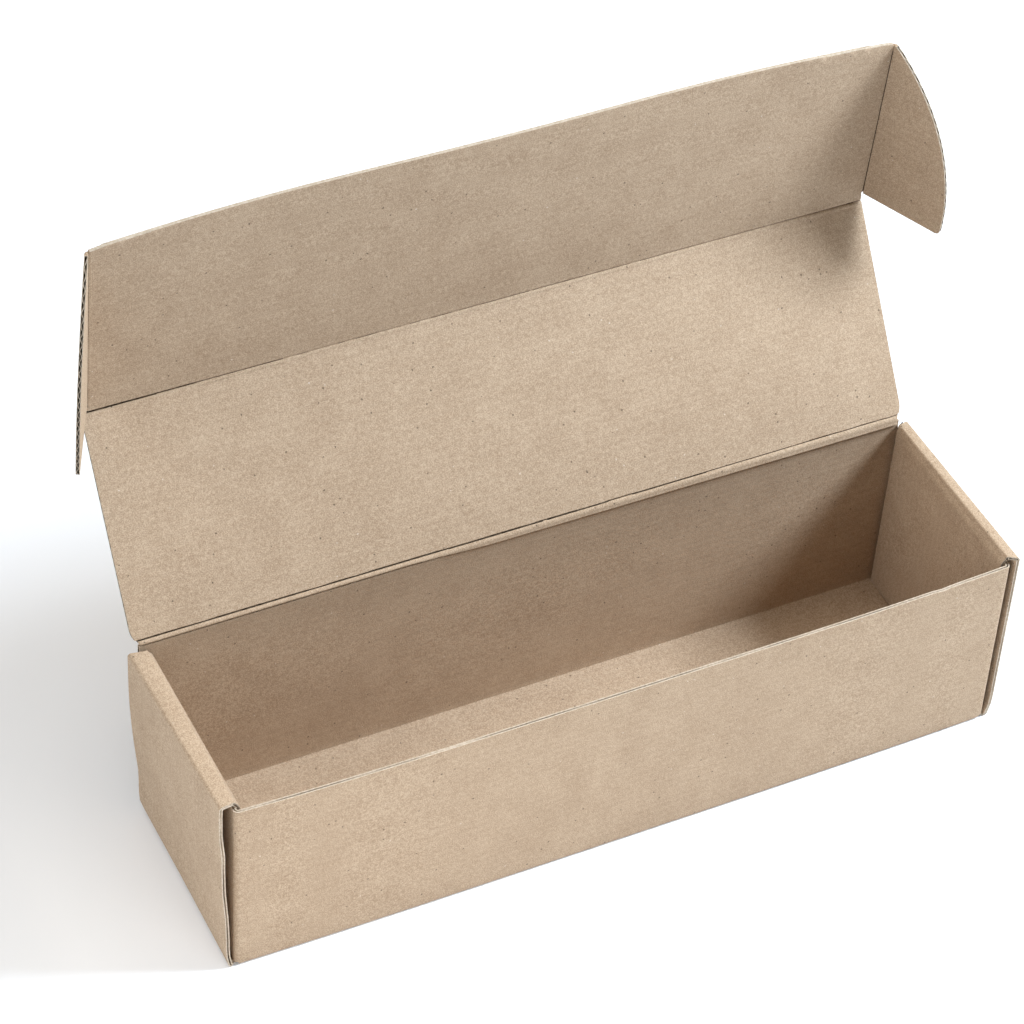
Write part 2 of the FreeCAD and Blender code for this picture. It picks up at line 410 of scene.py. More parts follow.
@dataclass(frozen=True)
class RawEdge:
    """The torn-white fibres of a die-cut liner edge: paler and rougher than the liner's face.

    Args:
        light: the pale fibres.
        dark: the fibres that the knife has crushed.
        grain: the size of a tuft of them, in metres.
    """

    light: str = "C8B8A4"
    dark: str = "B4A28C"
    grain: float = 1.1 * MM

    def material(self) -> bpy.types.Material:
        """Build the material.

        Returns:
            The material.
        """
        r = Recipe("die_cut_liner_edge")
        fibres = r.noise(self.grain, 3.0).outputs["Fac"]
        r.set(Base_Color=r.ramp(fibres, [(0.38, self.dark), (0.62, self.light)]),
              Roughness=0.95, Specular_IOR_Level=0.15,
              Normal=r.relief(fibres, 0.6, 0.15 * MM))
        return r.material


@dataclass(frozen=True)
class FlutingPaperWithPaintedShade:
    """The thin fluting paper between the liners: browner than they are, and darkened further as
    painted shade, since it stands for the shaded voids in cut edges and the shade in crease
    grooves.

    Args:
        light: its paler clouds, darkened by painted shade.
        dark: its darker clouds, darkened by more painted shade.
        grain: the size of its clouds, in metres.
    """

    light: str = "6C5C4A"
    dark: str = "43372B"
    grain: float = 2.5 * MM

    def material(self) -> bpy.types.Material:
        """Build the material.

        Returns:
            The material.
        """
        r = Recipe("fluting_paper")
        cloud = r.noise(self.grain).outputs["Fac"]
        # Both colours hold painted shade for the voids and grooves that this finish fills.
        r.set(Base_Color=r.ramp(cloud, [(0.35, self.dark), (0.65, self.light)]),
              Roughness=0.95, Specular_IOR_Level=0.1)
        return r.material


@dataclass(frozen=True)
class Finishes:
    """The three finishes of the board, in the order of its material slots."""

    liner: bpy.types.Material
    cut: bpy.types.Material
    # The fluting paper, darkened as painted shade.
    flute: bpy.types.Material

    def dress(self, piece: bpy.types.Object) -> None:
        """Give a piece the three finishes, and keep each face's slot."""
        piece.data.materials.clear()
        for material in (self.liner, self.cut, self.flute):
            piece.data.materials.append(material)


# Shaping by hand

def choose(*pieces: bpy.types.Object) -> None:
    """Select some pieces alone, with the first one active.

    Args:
        pieces: the pieces, or none to select nothing.
    """
    bpy.ops.object.select_all(action="DESELECT")
    for piece in pieces:
        piece.select_set(True)
    if pieces:
        bpy.context.view_layer.objects.active = pieces[0]


class Shaping:
    """Edit mode on one object, with its parts selected in code by where they are."""

    def __init__(self, piece: bpy.types.Object) -> None:
        """Remember the object.

        Args:
            piece: the object to shape.
        """
        self.piece = piece

    def __enter__(self) -> "Shaping":
        """Go into edit mode with nothing selected."""
        choose(self.piece)
        bpy.ops.object.mode_set(mode="EDIT")
        bpy.ops.mesh.select_all(action="DESELECT")
        return self

    def __exit__(self, *_) -> None:
        """Go back to object mode."""
        bpy.ops.object.mode_set(mode="OBJECT")

    @staticmethod
    def take_all() -> None:
        """Select the whole mesh."""
        bpy.ops.mesh.select_all(action="SELECT")

    def pick(self, kind: str, test: Callable) -> int:
        """Select the parts that pass a test.

        Args:
            kind: VERT, EDGE or FACE.
            test: given a part, says whether to select it.

        Returns:
            How many were selected.
        """
        bpy.ops.mesh.select_mode(type=kind)
        bpy.ops.mesh.select_all(action="DESELECT")
        cage = bmesh.from_edit_mesh(self.piece.data)
        parts = {"VERT": cage.verts, "EDGE": cage.edges, "FACE": cage.faces}[kind]
        chosen = [part for part in parts if test(part)]
        for part in chosen:
            part.select_set(True)
        cage.select_flush_mode()
        bmesh.update_edit_mesh(self.piece.data)
        return len(chosen)

    def edges(self, test: Callable[[Vector], bool]) -> int:
        """Select the border edges whose both ends pass a test on their place."""
        return self.pick("EDGE", lambda e: e.is_boundary and all(test(v.co) for v in e.verts))

    def slice(self, axis: Vector, places: Iterable[float]) -> None:
        """Cut the mesh across an axis at several places."""
        for place in places:
            self.take_all()
            bpy.ops.mesh.bisect(plane_co=axis * place, plane_no=axis)

    def pull(self, way: Vector, reach: float, step: float) -> None:
        """Extrude the selected edges.

        Args:
            way: the unit vector they go along.
            reach: how far.
            step: the longest stretch of one extrusion.
        """
        count = max(1, math.ceil(reach / step - 1e-6))
        for _ in range(count):
            bpy.ops.mesh.extrude_region_move(
                TRANSFORM_OT_translate={"value": way * (reach / count)})

    def fold(self, centre: Vector, axis: Vector, angle: float, steps: int = 5) -> None:
        """Spin the selected edges round an axis by the right-hand rule, to make a fold."""
        bpy.ops.mesh.spin(steps=steps, angle=-angle, center=centre, axis=axis)


def even(start: float, end: float, count: int) -> list[float]:
    """Evenly spaced values from a start to an end, both included, in a count of steps."""
    return [start + (end - start) * i / count for i in range(count + 1)]


def rows_between(start: float, end: float, step: float) -> list[float]:
    """Evenly spaced places strictly between two ends, no further apart than a step."""
    return even(start, end, max(1, math.ceil((end - start) / step)))[1:-1]


def new_plane(name: str, low: Pair, high: Pair, height: float) -> bpy.types.Object:
    """Add a plane between two corners.

    Args:
        name: the object's name.
        low: its least x and y.
        high: its greatest x and y.
        height: its z.

    Returns:
        The object, with its place in its mesh.
    """
    choose()
    bpy.ops.mesh.primitive_plane_add(size=1)
    piece = bpy.context.object
    piece.name = piece.data.name = name
    piece.scale = (high[0] - low[0], high[1] - low[1], 1)
    piece.location = ((low[0] + high[0]) / 2, (low[1] + high[1]) / 2, height)
    bpy.ops.object.transform_apply(location=True, rotation=True, scale=True)
    return piece


def new_grid(name: str, firsts: Sequence[float], seconds: Sequence[float], place: Place,
             across: Optional[Callable[[float, float], float]] = None) -> bpy.types.Object:
    """Add a grid and lay each of its points where a rule says.

    Args:
        name: the object's name.
        firsts: the values at the points of its first side.
        seconds: the values at the points of its second side.
        place: gives a point from its two values.
        across: gives the distance across the flutes there.

    Returns:
        The object.
    """
    choose()
    columns, rows = len(firsts) - 1, len(seconds) - 1
    bpy.ops.mesh.primitive_grid_add(x_subdivisions=columns, y_subdivisions=rows, size=1)
    piece = bpy.context.object
    piece.name = piece.data.name = name
    values = [(firsts[round((v.co.x + 0.5) * columns)], seconds[round((v.co.y + 0.5) * rows)])
              for v in piece.data.vertices]
    for vertex, pair in zip(piece.data.vertices, values):
        vertex.co = place(*pair)
    if across:
        layer = piece.data.attributes.new(ACROSS, "FLOAT", "POINT")
        layer.data.foreach_set("value", [across(*pair) for pair in values])
    return piece


def apply(piece: bpy.types.Object, kind: str, **settings) -> None:
    """Give a piece a modifier and apply it.

    Args:
        piece: the piece.
        kind: the modifier's type.
        settings: values of its properties.
    """
    choose(piece)
    modifier = piece.modifiers.new(kind.title(), kind)
    for key, value in settings.items():
        setattr(modifier, key, value)
    bpy.ops.object.modifier_apply(modifier=modifier.name)


def soften(piece: bpy.types.Object, degrees: float = 40) -> None:
    """Shade a piece smooth, but for edges sharper than an angle."""
    choose(piece)
    bpy.ops.object.shade_smooth_by_angle(angle=math.radians(degrees))


class BoardPiece:
    """A piece of corrugated board, from a thin sheet with no thickness to its cut edges."""

    def __init__(self, board: Board, finishes: Finishes) -> None:
        """Remember what the board is.

        Args:
            board: its sizes.
            finishes: its materials.
        """
        self.board = board
        self.finishes = finishes

    def thicken(self, sheet: bpy.types.Object) -> None:
        """Give a sheet the board's thickness, half on each side, and mark its cut edges.

        Args:
            sheet: the sheet, as thin as it was folded.
        """
        with Shaping(sheet) as shaping:
            shaping.take_all()
            bpy.ops.mesh.remove_doubles(threshold=TOUCH)
            bpy.ops.mesh.normals_make_consistent(inside=False)
        self.finishes.dress(sheet)
        apply(sheet, "SOLIDIFY", thickness=self.board.thickness, offset=0.0,
              use_even_offset=True, material_offset_rim=Skin.CUT.value)

    def open_edges(self, piece: bpy.types.Object,
                   rim_of: Callable[[bpy.types.MeshPolygon], Rim]) -> None:
        """Shape the cut edges: open, crushed or round.

        Args:
            piece: a thickened piece.
            rim_of: says what the rim is at one of its faces.
        """
        board = self.board
        rims = {face.index: rim_of(face) for face in piece.data.polygons
                if face.material_index == Skin.CUT.value}
        for index, rim in rims.items():
            if rim is Rim.CREASE:
                piece.data.polygons[index].material_index = Skin.LINER.value
        mark = piece.data.attributes.new(RIM_MARK, "INT", "FACE")
        numbers = {Rim.OPEN: 1, Rim.CRUSHED: 2}
        mark.data.foreach_set("value", [numbers.get(rims.get(i), 0)
                                        for i in range(len(piece.data.polygons))])
        for rim, wall, depth in (
                (Rim.OPEN, board.liner, board.open_depth),
                (Rim.CRUSHED, (board.thickness - board.crushed_line) / 2, board.crushed_depth)):
            with Shaping(piece) as shaping:
                cage = bmesh.from_edit_mesh(piece.data)
                layer = cage.faces.layers.int[RIM_MARK]
                if not shaping.pick("FACE", lambda f: f[layer] == numbers[rim]):
                    continue
                bpy.ops.mesh.inset(thickness=wall, depth=0, use_even_offset=True)
                bpy.ops.mesh.extrude_region_shrink_fatten(
                    TRANSFORM_OT_shrink_fatten={"value": -depth})
                self.paint_edge_floor_shade(piece, rim)
        piece.data.attributes.remove(piece.data.attributes[RIM_MARK])

    def paint_edge_floor_shade(self, piece: bpy.types.Object, rim: Rim) -> None:
        """Give the floor of an opened edge, and the walls of an open one, the fluting paper
        darkened as painted shade for the dark voids behind the liners, and leave a crushed one
        uneven.

        Args:
            piece: the piece, in edit mode, with the floor selected.
            rim: what the edge is.
        """
        cage = bmesh.from_edit_mesh(piece.data)
        layer = cage.faces.layers.int[RIM_MARK]
        floor = [f for f in cage.faces if f.select]
        # Painted shade: the floor, and the walls of an open edge, take the darkened fluting paper.
        for face in floor:
            face.material_index = Skin.FLUTE.value
            face[layer] = 0
            for edge in face.edges:
                for wall in edge.link_faces:
                    if not wall.select and rim is Rim.OPEN:
                        wall.material_index = Skin.FLUTE.value
                        wall[layer] = 0
        if rim is Rim.CRUSHED:
            for vertex in {v for f in floor for v in f.verts}:
                lift = 0.2 + 1.2 * ripple(vertex.co, 12 * MM, 7.7)
                rise = self.board.crushed_depth * max(0.0, min(0.95, lift))
                vertex.co += vertex.normal * rise
        bmesh.update_edit_mesh(piece.data)

    def flutes(self, name: str, start: float, end: float,
               edge: Callable[[float], float], inward: float) -> bpy.types.Object:
        """The fluted paper as it shows in a cut edge that crosses the flutes.

        Args:
            name: the object's name.
            start: where the flutes start, along local X.
            end: where they end.
            edge: gives the cut edge's local Y at each local X.
            inward: +1 or -1, the way along local Y from the edge into the board.

        Returns:
            The object, in the panel's own frame.
        """
        board = self.board
        count = max(4, round((end - start) / board.pitch * board.wave_steps))
        height = board.half - board.liner - board.wave_room
        ends = (board.wave_setback, board.wave_setback + board.open_depth + board.wave_overlap)

        def place(x: float, depth: float) -> Vector:
            """A point of the wave."""
            return Vector((x, edge(x) + inward * depth,
                           height * math.sin(2 * math.pi * x / board.pitch)))

        wave = new_grid(name, even(start, end, count), ends, place)
        apply(wave, "SOLIDIFY", thickness=board.medium, offset=0.0)
        self.finishes.dress(wave)
        for face in wave.data.polygons:
            face.material_index = Skin.CUT.value
        return wave


def join(pieces: Sequence[bpy.types.Object]) -> bpy.types.Object:
    """Join several objects.

    Args:
        pieces: the objects.

    Returns:
        The first one, with the others in it.
    """
    choose(*pieces)
    bpy.ops.object.join()
    return pieces[0]


@dataclass
class Tray:
    """The folded tray: base, front and back walls, corner tabs, and rolled ends.

    Its outer sizes come from the frame, and the rest are the box's own, in metres.

    Args:
        maker: the board it is made of.
        low: its lowest corner in the frame.
        high: its highest corner in the frame.
        front_height: the front wall's height.
        end_height: the rolled ends' height.
        tab_top: the corner tabs' height.
        tab_reach: how far a corner tab goes along the end.
        ear_gap: on each side of a closed ear.
        layer_gap: between a corner tab and the inner end panel.
        end_setback: from the back wall to the outer end panel's back edge.
        inner_front: where the inner end panel's front edge is, along Y.
        inner_back: where its back edge is.
        roll_radius: the radius of the rolled top's two folds, at the middle of the board.
        teeth: how far the inner end panel's torn back edge goes in and out.
        tooth_pitch: the height of its tears.
        shoulder: how far the back wall's shoulder goes past the corner tab's fold.
        lock_width: the width of a lock tab.
        lock_middle: how far the middle of a lock tab is from the box's middle, along Y.
        lock_clearance: round a lock tab in its slot.
        bulge: the left end panel's belly.
        belly_rise: its height over the height at which the belly is fullest.
        belly_front: how much of the belly there is at the front, as a share.
        foot_lean: how far the end panels lean in at their feet.
        lean_front: how much of the left one's lean there is at the front, as a share.
        lean_right: the right end panel's lean, as a share of the left one's.
        foot_rise: how far up from its foot an end panel may lean in.
        roll_skew: how much wider the right roll is at its front.
        roll_lean: how far a rolled top's inner side slants out.
        slant_height: the height of that slant.
        crush_from: how far towards the front the left end panel's crushed edge starts.
        crush_run: how wide the crushed stretch is, and half its height.
        crinkle: how far it goes in and out.
        fray: how far its edge goes to and fro.
        worn_place: the height of the worn spot on that edge.
        worn_depth: how much is worn away there.
        back_drift: how far the back wall's top lies off towards the left.
        back_spread: how far its corner fold on the right stands out.
        back_edge: how near to the end that is.
        front_bow: how far the front wall bows out.
        front_sag: how far its top sags.
        flat_base: how far from the box's middle the base's bow starts.
        sway: how far the long walls wave in and out.
        nick_place: where the nick in the front wall's top is, along X.
        nick_half: half the nick's width.
        nick_depth: how deep the nick is.
    """

    maker: BoardPiece
    low: Vector
    high: Vector
    front_height: float = 90.6 * MM
    end_height: float = 94.2 * MM
    tab_top: float = 90.6 * MM
    tab_reach: float = 40 * MM
    ear_gap: float = 0.3 * MM
    layer_gap: float = 0.2 * MM
    end_setback: float = 0.3 * MM
    inner_front: float = -44.5 * MM
    inner_back: float = 44.0 * MM
    roll_radius: float = 0.8 * MM
    teeth: float = 0.45 * MM
    tooth_pitch: float = 1.3 * MM
    shoulder: float = 0.6 * MM
    lock_width: float = 22 * MM
    lock_middle: float = 24 * MM
    lock_clearance: float = 0.3 * MM
    bulge: float = 5.6 * MM
    belly_rise: float = 1.18
    belly_front: float = 0.62
    foot_lean: float = 2.3 * MM
    lean_front: float = 0.6
    lean_right: float = 0.7
    foot_rise: float = 8 * MM
    roll_skew: float = 1.3 * MM
    roll_lean: float = 1.7 * MM
    slant_height: float = 2 * MM
    crush_from: float = 30 * MM
    crush_run: float = 17 * MM
    crinkle: float = 0.45 * MM
    fray: float = 0.5 * MM
    worn_place: float = 86 * MM
    worn_depth: float = 1.7 * MM
    back_drift: float = 1.4 * MM
    back_spread: float = 1.3 * MM
    back_edge: float = 8 * MM
    front_bow: float = 1.25 * MM
    front_sag: float = 1.3 * MM
    flat_base: float = 38 * MM
    sway: float = 0.35 * MM
    nick_place: float = 143 * MM
    nick_half: float = 4 * MM
    nick_depth: float = 0.8 * MM

    def build(self) -> bpy.types.Object:
        """Fold the sheet, give it thickness and open its cut edges.

        Returns:
            The tray.
        """
        sheet = self.fold_sheet()
        apply(sheet, "MIRROR", use_axis=(True, False, False), use_clip=True,
              merge_threshold=TOUCH)
        self.mark_flutes(sheet)
        self.settle(sheet)
        self.maker.thicken(sheet)
        self.maker.open_edges(sheet, self.rim_of)
        soften(sheet)
        return sheet

    def rim_of(self, face: bpy.types.MeshPolygon) -> Rim:
        """What the tray's rim is at a face: the back wall's top goes on into the lid, its
        shoulders are cut across the flutes, and the rest is cut along them."""
        if face.center.z > self.high.z - 0.3 * MM and face.normal.z > 0.9:
            return Rim.CREASE
        across = abs(face.normal.x) > 0.7 and face.center.z > self.tab_top
        return Rim.OPEN if across else Rim.CRUSHED

    def fold_sheet(self) -> bpy.types.Object:
        """Fold up the right half of the sheet, with no thickness.

        Returns:
            The half sheet.
        """
        board = self.maker.board
        fold = board.fold_outer
        base_end = self.high.x - fold
        base_side = self.high.y - fold
        tab_face = self.high.x - 2 * (board.thickness + self.ear_gap)
        wall_end = tab_face - fold
        bay_face = tab_face - 2 * board.thickness - self.layer_gap
        lock_near = self.lock_middle - self.lock_width / 2
        lock_far = self.lock_middle + self.lock_width / 2
        slot = [bay_face - self.lock_clearance,
                bay_face + board.thickness + self.lock_clearance]
        ways = (lock_near - self.lock_clearance, lock_near, lock_far,
                lock_far + self.lock_clearance)

        sheet = new_plane("tray_board", (0, -base_side), (base_end, base_side), board.half)
        with Shaping(sheet) as shaping:
            shaping.slice(X_AXIS, rows_between(0, slot[0], board.step) + slot + [wall_end])
            shaping.slice(Y_AXIS, [s * w for w in ways for s in (-1, 1)] + [0])

            # The front and back walls, with their corner tabs
            for side, top in ((-1, self.front_height), (1, self.high.z)):
                wall_y = side * (self.high.y - board.half)
                shaping.edges(lambda p: abs(p.y - side * base_side) < TOUCH
                              and p.x < wall_end + TOUCH)
                shaping.fold(Vector((0, side * base_side, fold)), X_AXIS,
                             side * math.pi / 2)
                shaping.pull(Z_AXIS, self.tab_top - fold, board.step)
                if top > self.tab_top + TOUCH:
                    shaping.pull(Z_AXIS, top - self.tab_top, board.step)
                shaping.edges(lambda p: abs(p.x - wall_end) < TOUCH
                              and abs(p.y - wall_y) < TOUCH
                              and fold - TOUCH < p.z < self.tab_top + TOUCH)
                shaping.fold(Vector((wall_end, side * base_side, 0)), Z_AXIS,
                             -side * math.pi / 2)
                shaping.pull(Y_AXIS * -side, self.tab_reach - fold, board.step)
                if top > self.tab_top + TOUCH:
                    shaping.edges(lambda p: abs(p.x - wall_end) < TOUCH
                                  and abs(p.y - wall_y) < TOUCH and p.z > self.tab_top - TOUCH)
                    shaping.pull(X_AXIS, fold + self.shoulder, board.step)

            # The rolled end: up, over and down again to the base
            shaping.edges(lambda p: abs(p.x - base_end) < TOUCH)
            shaping.fold(Vector((base_end, 0, fold)), Y_AXIS, -math.pi / 2)
            roll = self.roll_radius
            roll_z = self.end_height - board.half - roll
            outer_x, inner_x = self.high.x - board.half, bay_face + board.half
            shaping.pull(Z_AXIS, roll_z - fold, board.step)
            shaping.fold(Vector((outer_x - roll, 0, roll_z)), Y_AXIS, -math.pi / 2)
            shaping.pull(-X_AXIS, outer_x - inner_x - 2 * roll, board.step)
            shaping.fold(Vector((inner_x + roll, 0, roll_z)), Y_AXIS, -math.pi / 2)
            shaping.pull(-Z_AXIS, roll_z - board.thickness, self.tooth_pitch)
            foot = board.thickness
            shaping.edges(lambda p: abs(p.x - inner_x) < TOUCH and abs(p.z - foot) < TOUCH
                          and lock_near - TOUCH < abs(p.y) < lock_far + TOUCH)
            shaping.pull(-Z_AXIS, foot - 0.1 * MM, board.step)

            # The slots that the lock tabs go through
            shaping.pick("FACE", lambda f: f.calc_center_median().z < board.half + TOUCH
                         and slot[0] < f.calc_center_median().x < slot[1]
                         and ways[0] < abs(f.calc_center_median().y) < ways[3]
                         and abs(f.normal.z) > 0.9)
            bpy.ops.mesh.delete(type="FACE")

        self.trim_ends(sheet, base_side, inner_x, outer_x)
        return sheet

    def trim_ends(self, sheet: bpy.types.Object, base_side: float, inner_x: float,
                  outer_x: float) -> None:
        """Bring the ends' front and back edges to where they are cut. The outer panel reaches
        the front wall's face, and the inner one stops short of both walls, with a torn back edge.

        Args:
            sheet: the folded half sheet.
            base_side: where the ends' edges are as they were folded up, along Y.
            inner_x: the inner panel's place along X.
            outer_x: the outer panel's place along X.
        """
        board = self.maker.board
        outer_back = self.high.y - board.thickness - self.end_setback
        for vertex in sheet.data.vertices:
            at = vertex.co
            if at.x < inner_x - TOUCH or at.z < board.half + TOUCH or self.is_wall(at):
                continue
            share = clamp((at.x - inner_x) / (outer_x - inner_x))
            front = self.inner_front + (self.low.y - self.inner_front) * share
            back = self.inner_back + (outer_back - self.inner_back) * share
            if abs(at.y + base_side) < TOUCH:
                vertex.co.y = front
            elif abs(at.y - base_side) < TOUCH:
                vertex.co.y = back + self.teeth * (1 - share) * noise.noise(at * 1700)

    def is_wall(self, at: Vector) -> bool:
        """Tell the long walls and their corner tabs from the base and the ends.

        Args:
            at: a point of the folded sheet.

        Returns:
            Whether it is on the front or back wall, or on a corner tab.
        """
        board = self.maker.board
        tab_middle = self.high.x - 2 * (board.thickness + self.ear_gap) - board.half
        if abs(at.x) < tab_middle + TOUCH:
            in_fold = abs(at.y) > self.high.y - board.fold_outer + TOUCH
            return in_fold or abs(abs(at.x) - tab_middle) < TOUCH
        return at.y > self.high.y - board.half - TOUCH

    def mark_flutes(self, sheet: bpy.types.Object) -> None:
        """Store, at each point, its distance across the flutes along the flat sheet.

        Args:
            sheet: the whole folded sheet.
        """
        board = self.maker.board
        base_side = self.high.y - board.fold_outer
        turn = board.fold_middle * math.pi / 2
        layer = sheet.data.attributes.new(ACROSS, "FLOAT", "POINT")
        values = []
        for vertex in sheet.data.vertices:
            at = vertex.co
            if self.is_wall(at) and at.z > board.fold_outer - TOUCH:
                side = 1 if at.y > 0 else -1
                values.append(side * (base_side + turn + at.z - board.fold_outer))
            else:
                values.append(at.y)
        layer.data.foreach_set("value", values)

    def settle(self, sheet: bpy.types.Object) -> None:
        """Let the sheet sit as folded board does: the front wall bows out, the left end bellies
        out, the right roll is wider at its front, and no panel is quite flat.

        Args:
            sheet: the whole folded sheet.
        """
        board = self.maker.board
        skin = self.high.x - board.fold_outer - TOUCH
        inner_x = self.high.x - 2 * (board.thickness + self.ear_gap) - board.thickness
        inner_x -= self.layer_gap + board.half
        for vertex in sheet.data.vertices:
            at = vertex.co.copy()
            rise = clamp(at.z / self.end_height)
            if self.is_wall(at):
                self.settle_wall(vertex, at, rise)
            elif abs(at.x) < inner_x - board.thickness:
                near = max(0.0, (-at.y - self.flat_base) / (self.high.y - self.flat_base))
                vertex.co.y -= near * self.front_bow * self.bowing(at.x)
            else:
                outer = clamp((abs(at.x) - inner_x) / (skin - inner_x))
                if at.z < board.fold_outer:
                    outer = 1.0 if abs(at.x) > skin else 0.0
                self.settle_end(vertex, at, rise, outer)

    def settle_end(self, vertex: bpy.types.MeshVertex, at: Vector, rise: float,
                   outer: float) -> None:
        """Move a point of a rolled end.

        Args:
            vertex: the point.
            at: where it was.
            rise: its height, as a share of the ends' height.
            outer: 1 on the outer panel, 0 on the inner one, and between them on the top.
        """
        back = clamp((at.y - self.low.y) / (self.high.y - self.low.y))
        over = clamp((at.z - self.tab_top) / self.slant_height)
        if at.x > 0:
            lean = self.foot_lean * self.lean_right * max(0.0, 1 - rise * 1.7)
            vertex.co.x -= outer * min(lean, self.ear_room(at.z))
            skew = self.roll_skew * max(0.0, 2 * back - 0.9)
            vertex.co.x += (1 - outer) * (rise * skew + over * (self.roll_lean - skew))
            return
        belly = math.sin(min(1.0, rise * self.belly_rise) * math.pi / 2) ** 1.2
        inward = (self.foot_lean * (self.lean_front + (1 - self.lean_front) * back)
                  - self.bulge * belly * (self.belly_front + (1 - self.belly_front) * back))
        vertex.co.x += outer * min(inward, self.ear_room(at.z))
        vertex.co.x -= (1 - outer) * self.roll_lean * over
        if at.y < -self.crush_from and outer > 0.5:
            crush = ((-self.crush_from - at.y) / self.crush_run) ** 2
            vertex.co.x += self.crinkle * crush * ripple(at, 13 * MM, 1.3)
            worn = max(0.0, 1 - ((at.z - self.worn_place) / self.crush_run) ** 2)
            vertex.co.y += crush * (self.fray * ripple(at, 8 * MM, 4.9)
                                    + self.worn_depth * worn)

    def ear_room(self, height: float) -> float:
        """How far inwards an outer end panel may lean at a height. A closed ear needs the rest."""
        return 0.05 * MM + self.foot_lean * max(0.0, 1 - height / self.foot_rise)

    def bowing(self, x: float) -> float:
        """How far a long wall bows at a place along it, from 0 at its ends to 1."""
        return 1 - (x / self.high.x) ** 4

    def settle_wall(self, vertex: bpy.types.MeshVertex, at: Vector, rise: float) -> None:
        """Move a point of a long wall or a corner tab.

        Args:
            vertex: the point.
            at: where it was.
            rise: its height, as a share of the ends' height.
        """
        board = self.maker.board
        sway = self.sway * math.sin(rise * math.pi) * ripple(at, 90 * MM, 3.1)
        if at.y > 0:
            vertex.co.y += sway
            if at.z > self.tab_top - TOUCH and abs(at.y) > self.high.y - board.half - TOUCH:
                vertex.co.x -= self.back_drift
            elif at.x > self.high.x - self.back_edge:
                vertex.co.x += self.back_spread * min(1.0, rise * 3)
            return
        if abs(at.y) > self.high.y - board.fold_outer:
            vertex.co.y -= self.front_bow * self.bowing(at.x) + 0.3 * sway
            vertex.co.z -= self.front_sag * rise * self.bowing(at.x)
            if rise > 0.95:
                nick = max(0.0, 1 - abs(at.x - self.nick_place) / self.nick_half)
                vertex.co.z -= self.nick_depth * nick


@dataclass
class Leaf:
    """A flat piece of board that hinges on a crease, in its own frame: the crease along local X,
    the board along local Y, and its inner face up local Z.

    Args:
        maker: the board it is made of.
        name: its node's name.
        frame: takes local places to the row's frame.
    """

    maker: BoardPiece
    name: str
    frame: Matrix

    def finish(self, *pieces: bpy.types.Object) -> bpy.types.Object:
        """Join its pieces and put them in place.

        Args:
            pieces: the board, and the flutes in its edges.

        Returns:
            The leaf, in the row's frame.
        """
        leaf = join(pieces)
        leaf.data.transform(self.frame)
        soften(leaf)
        return leaf


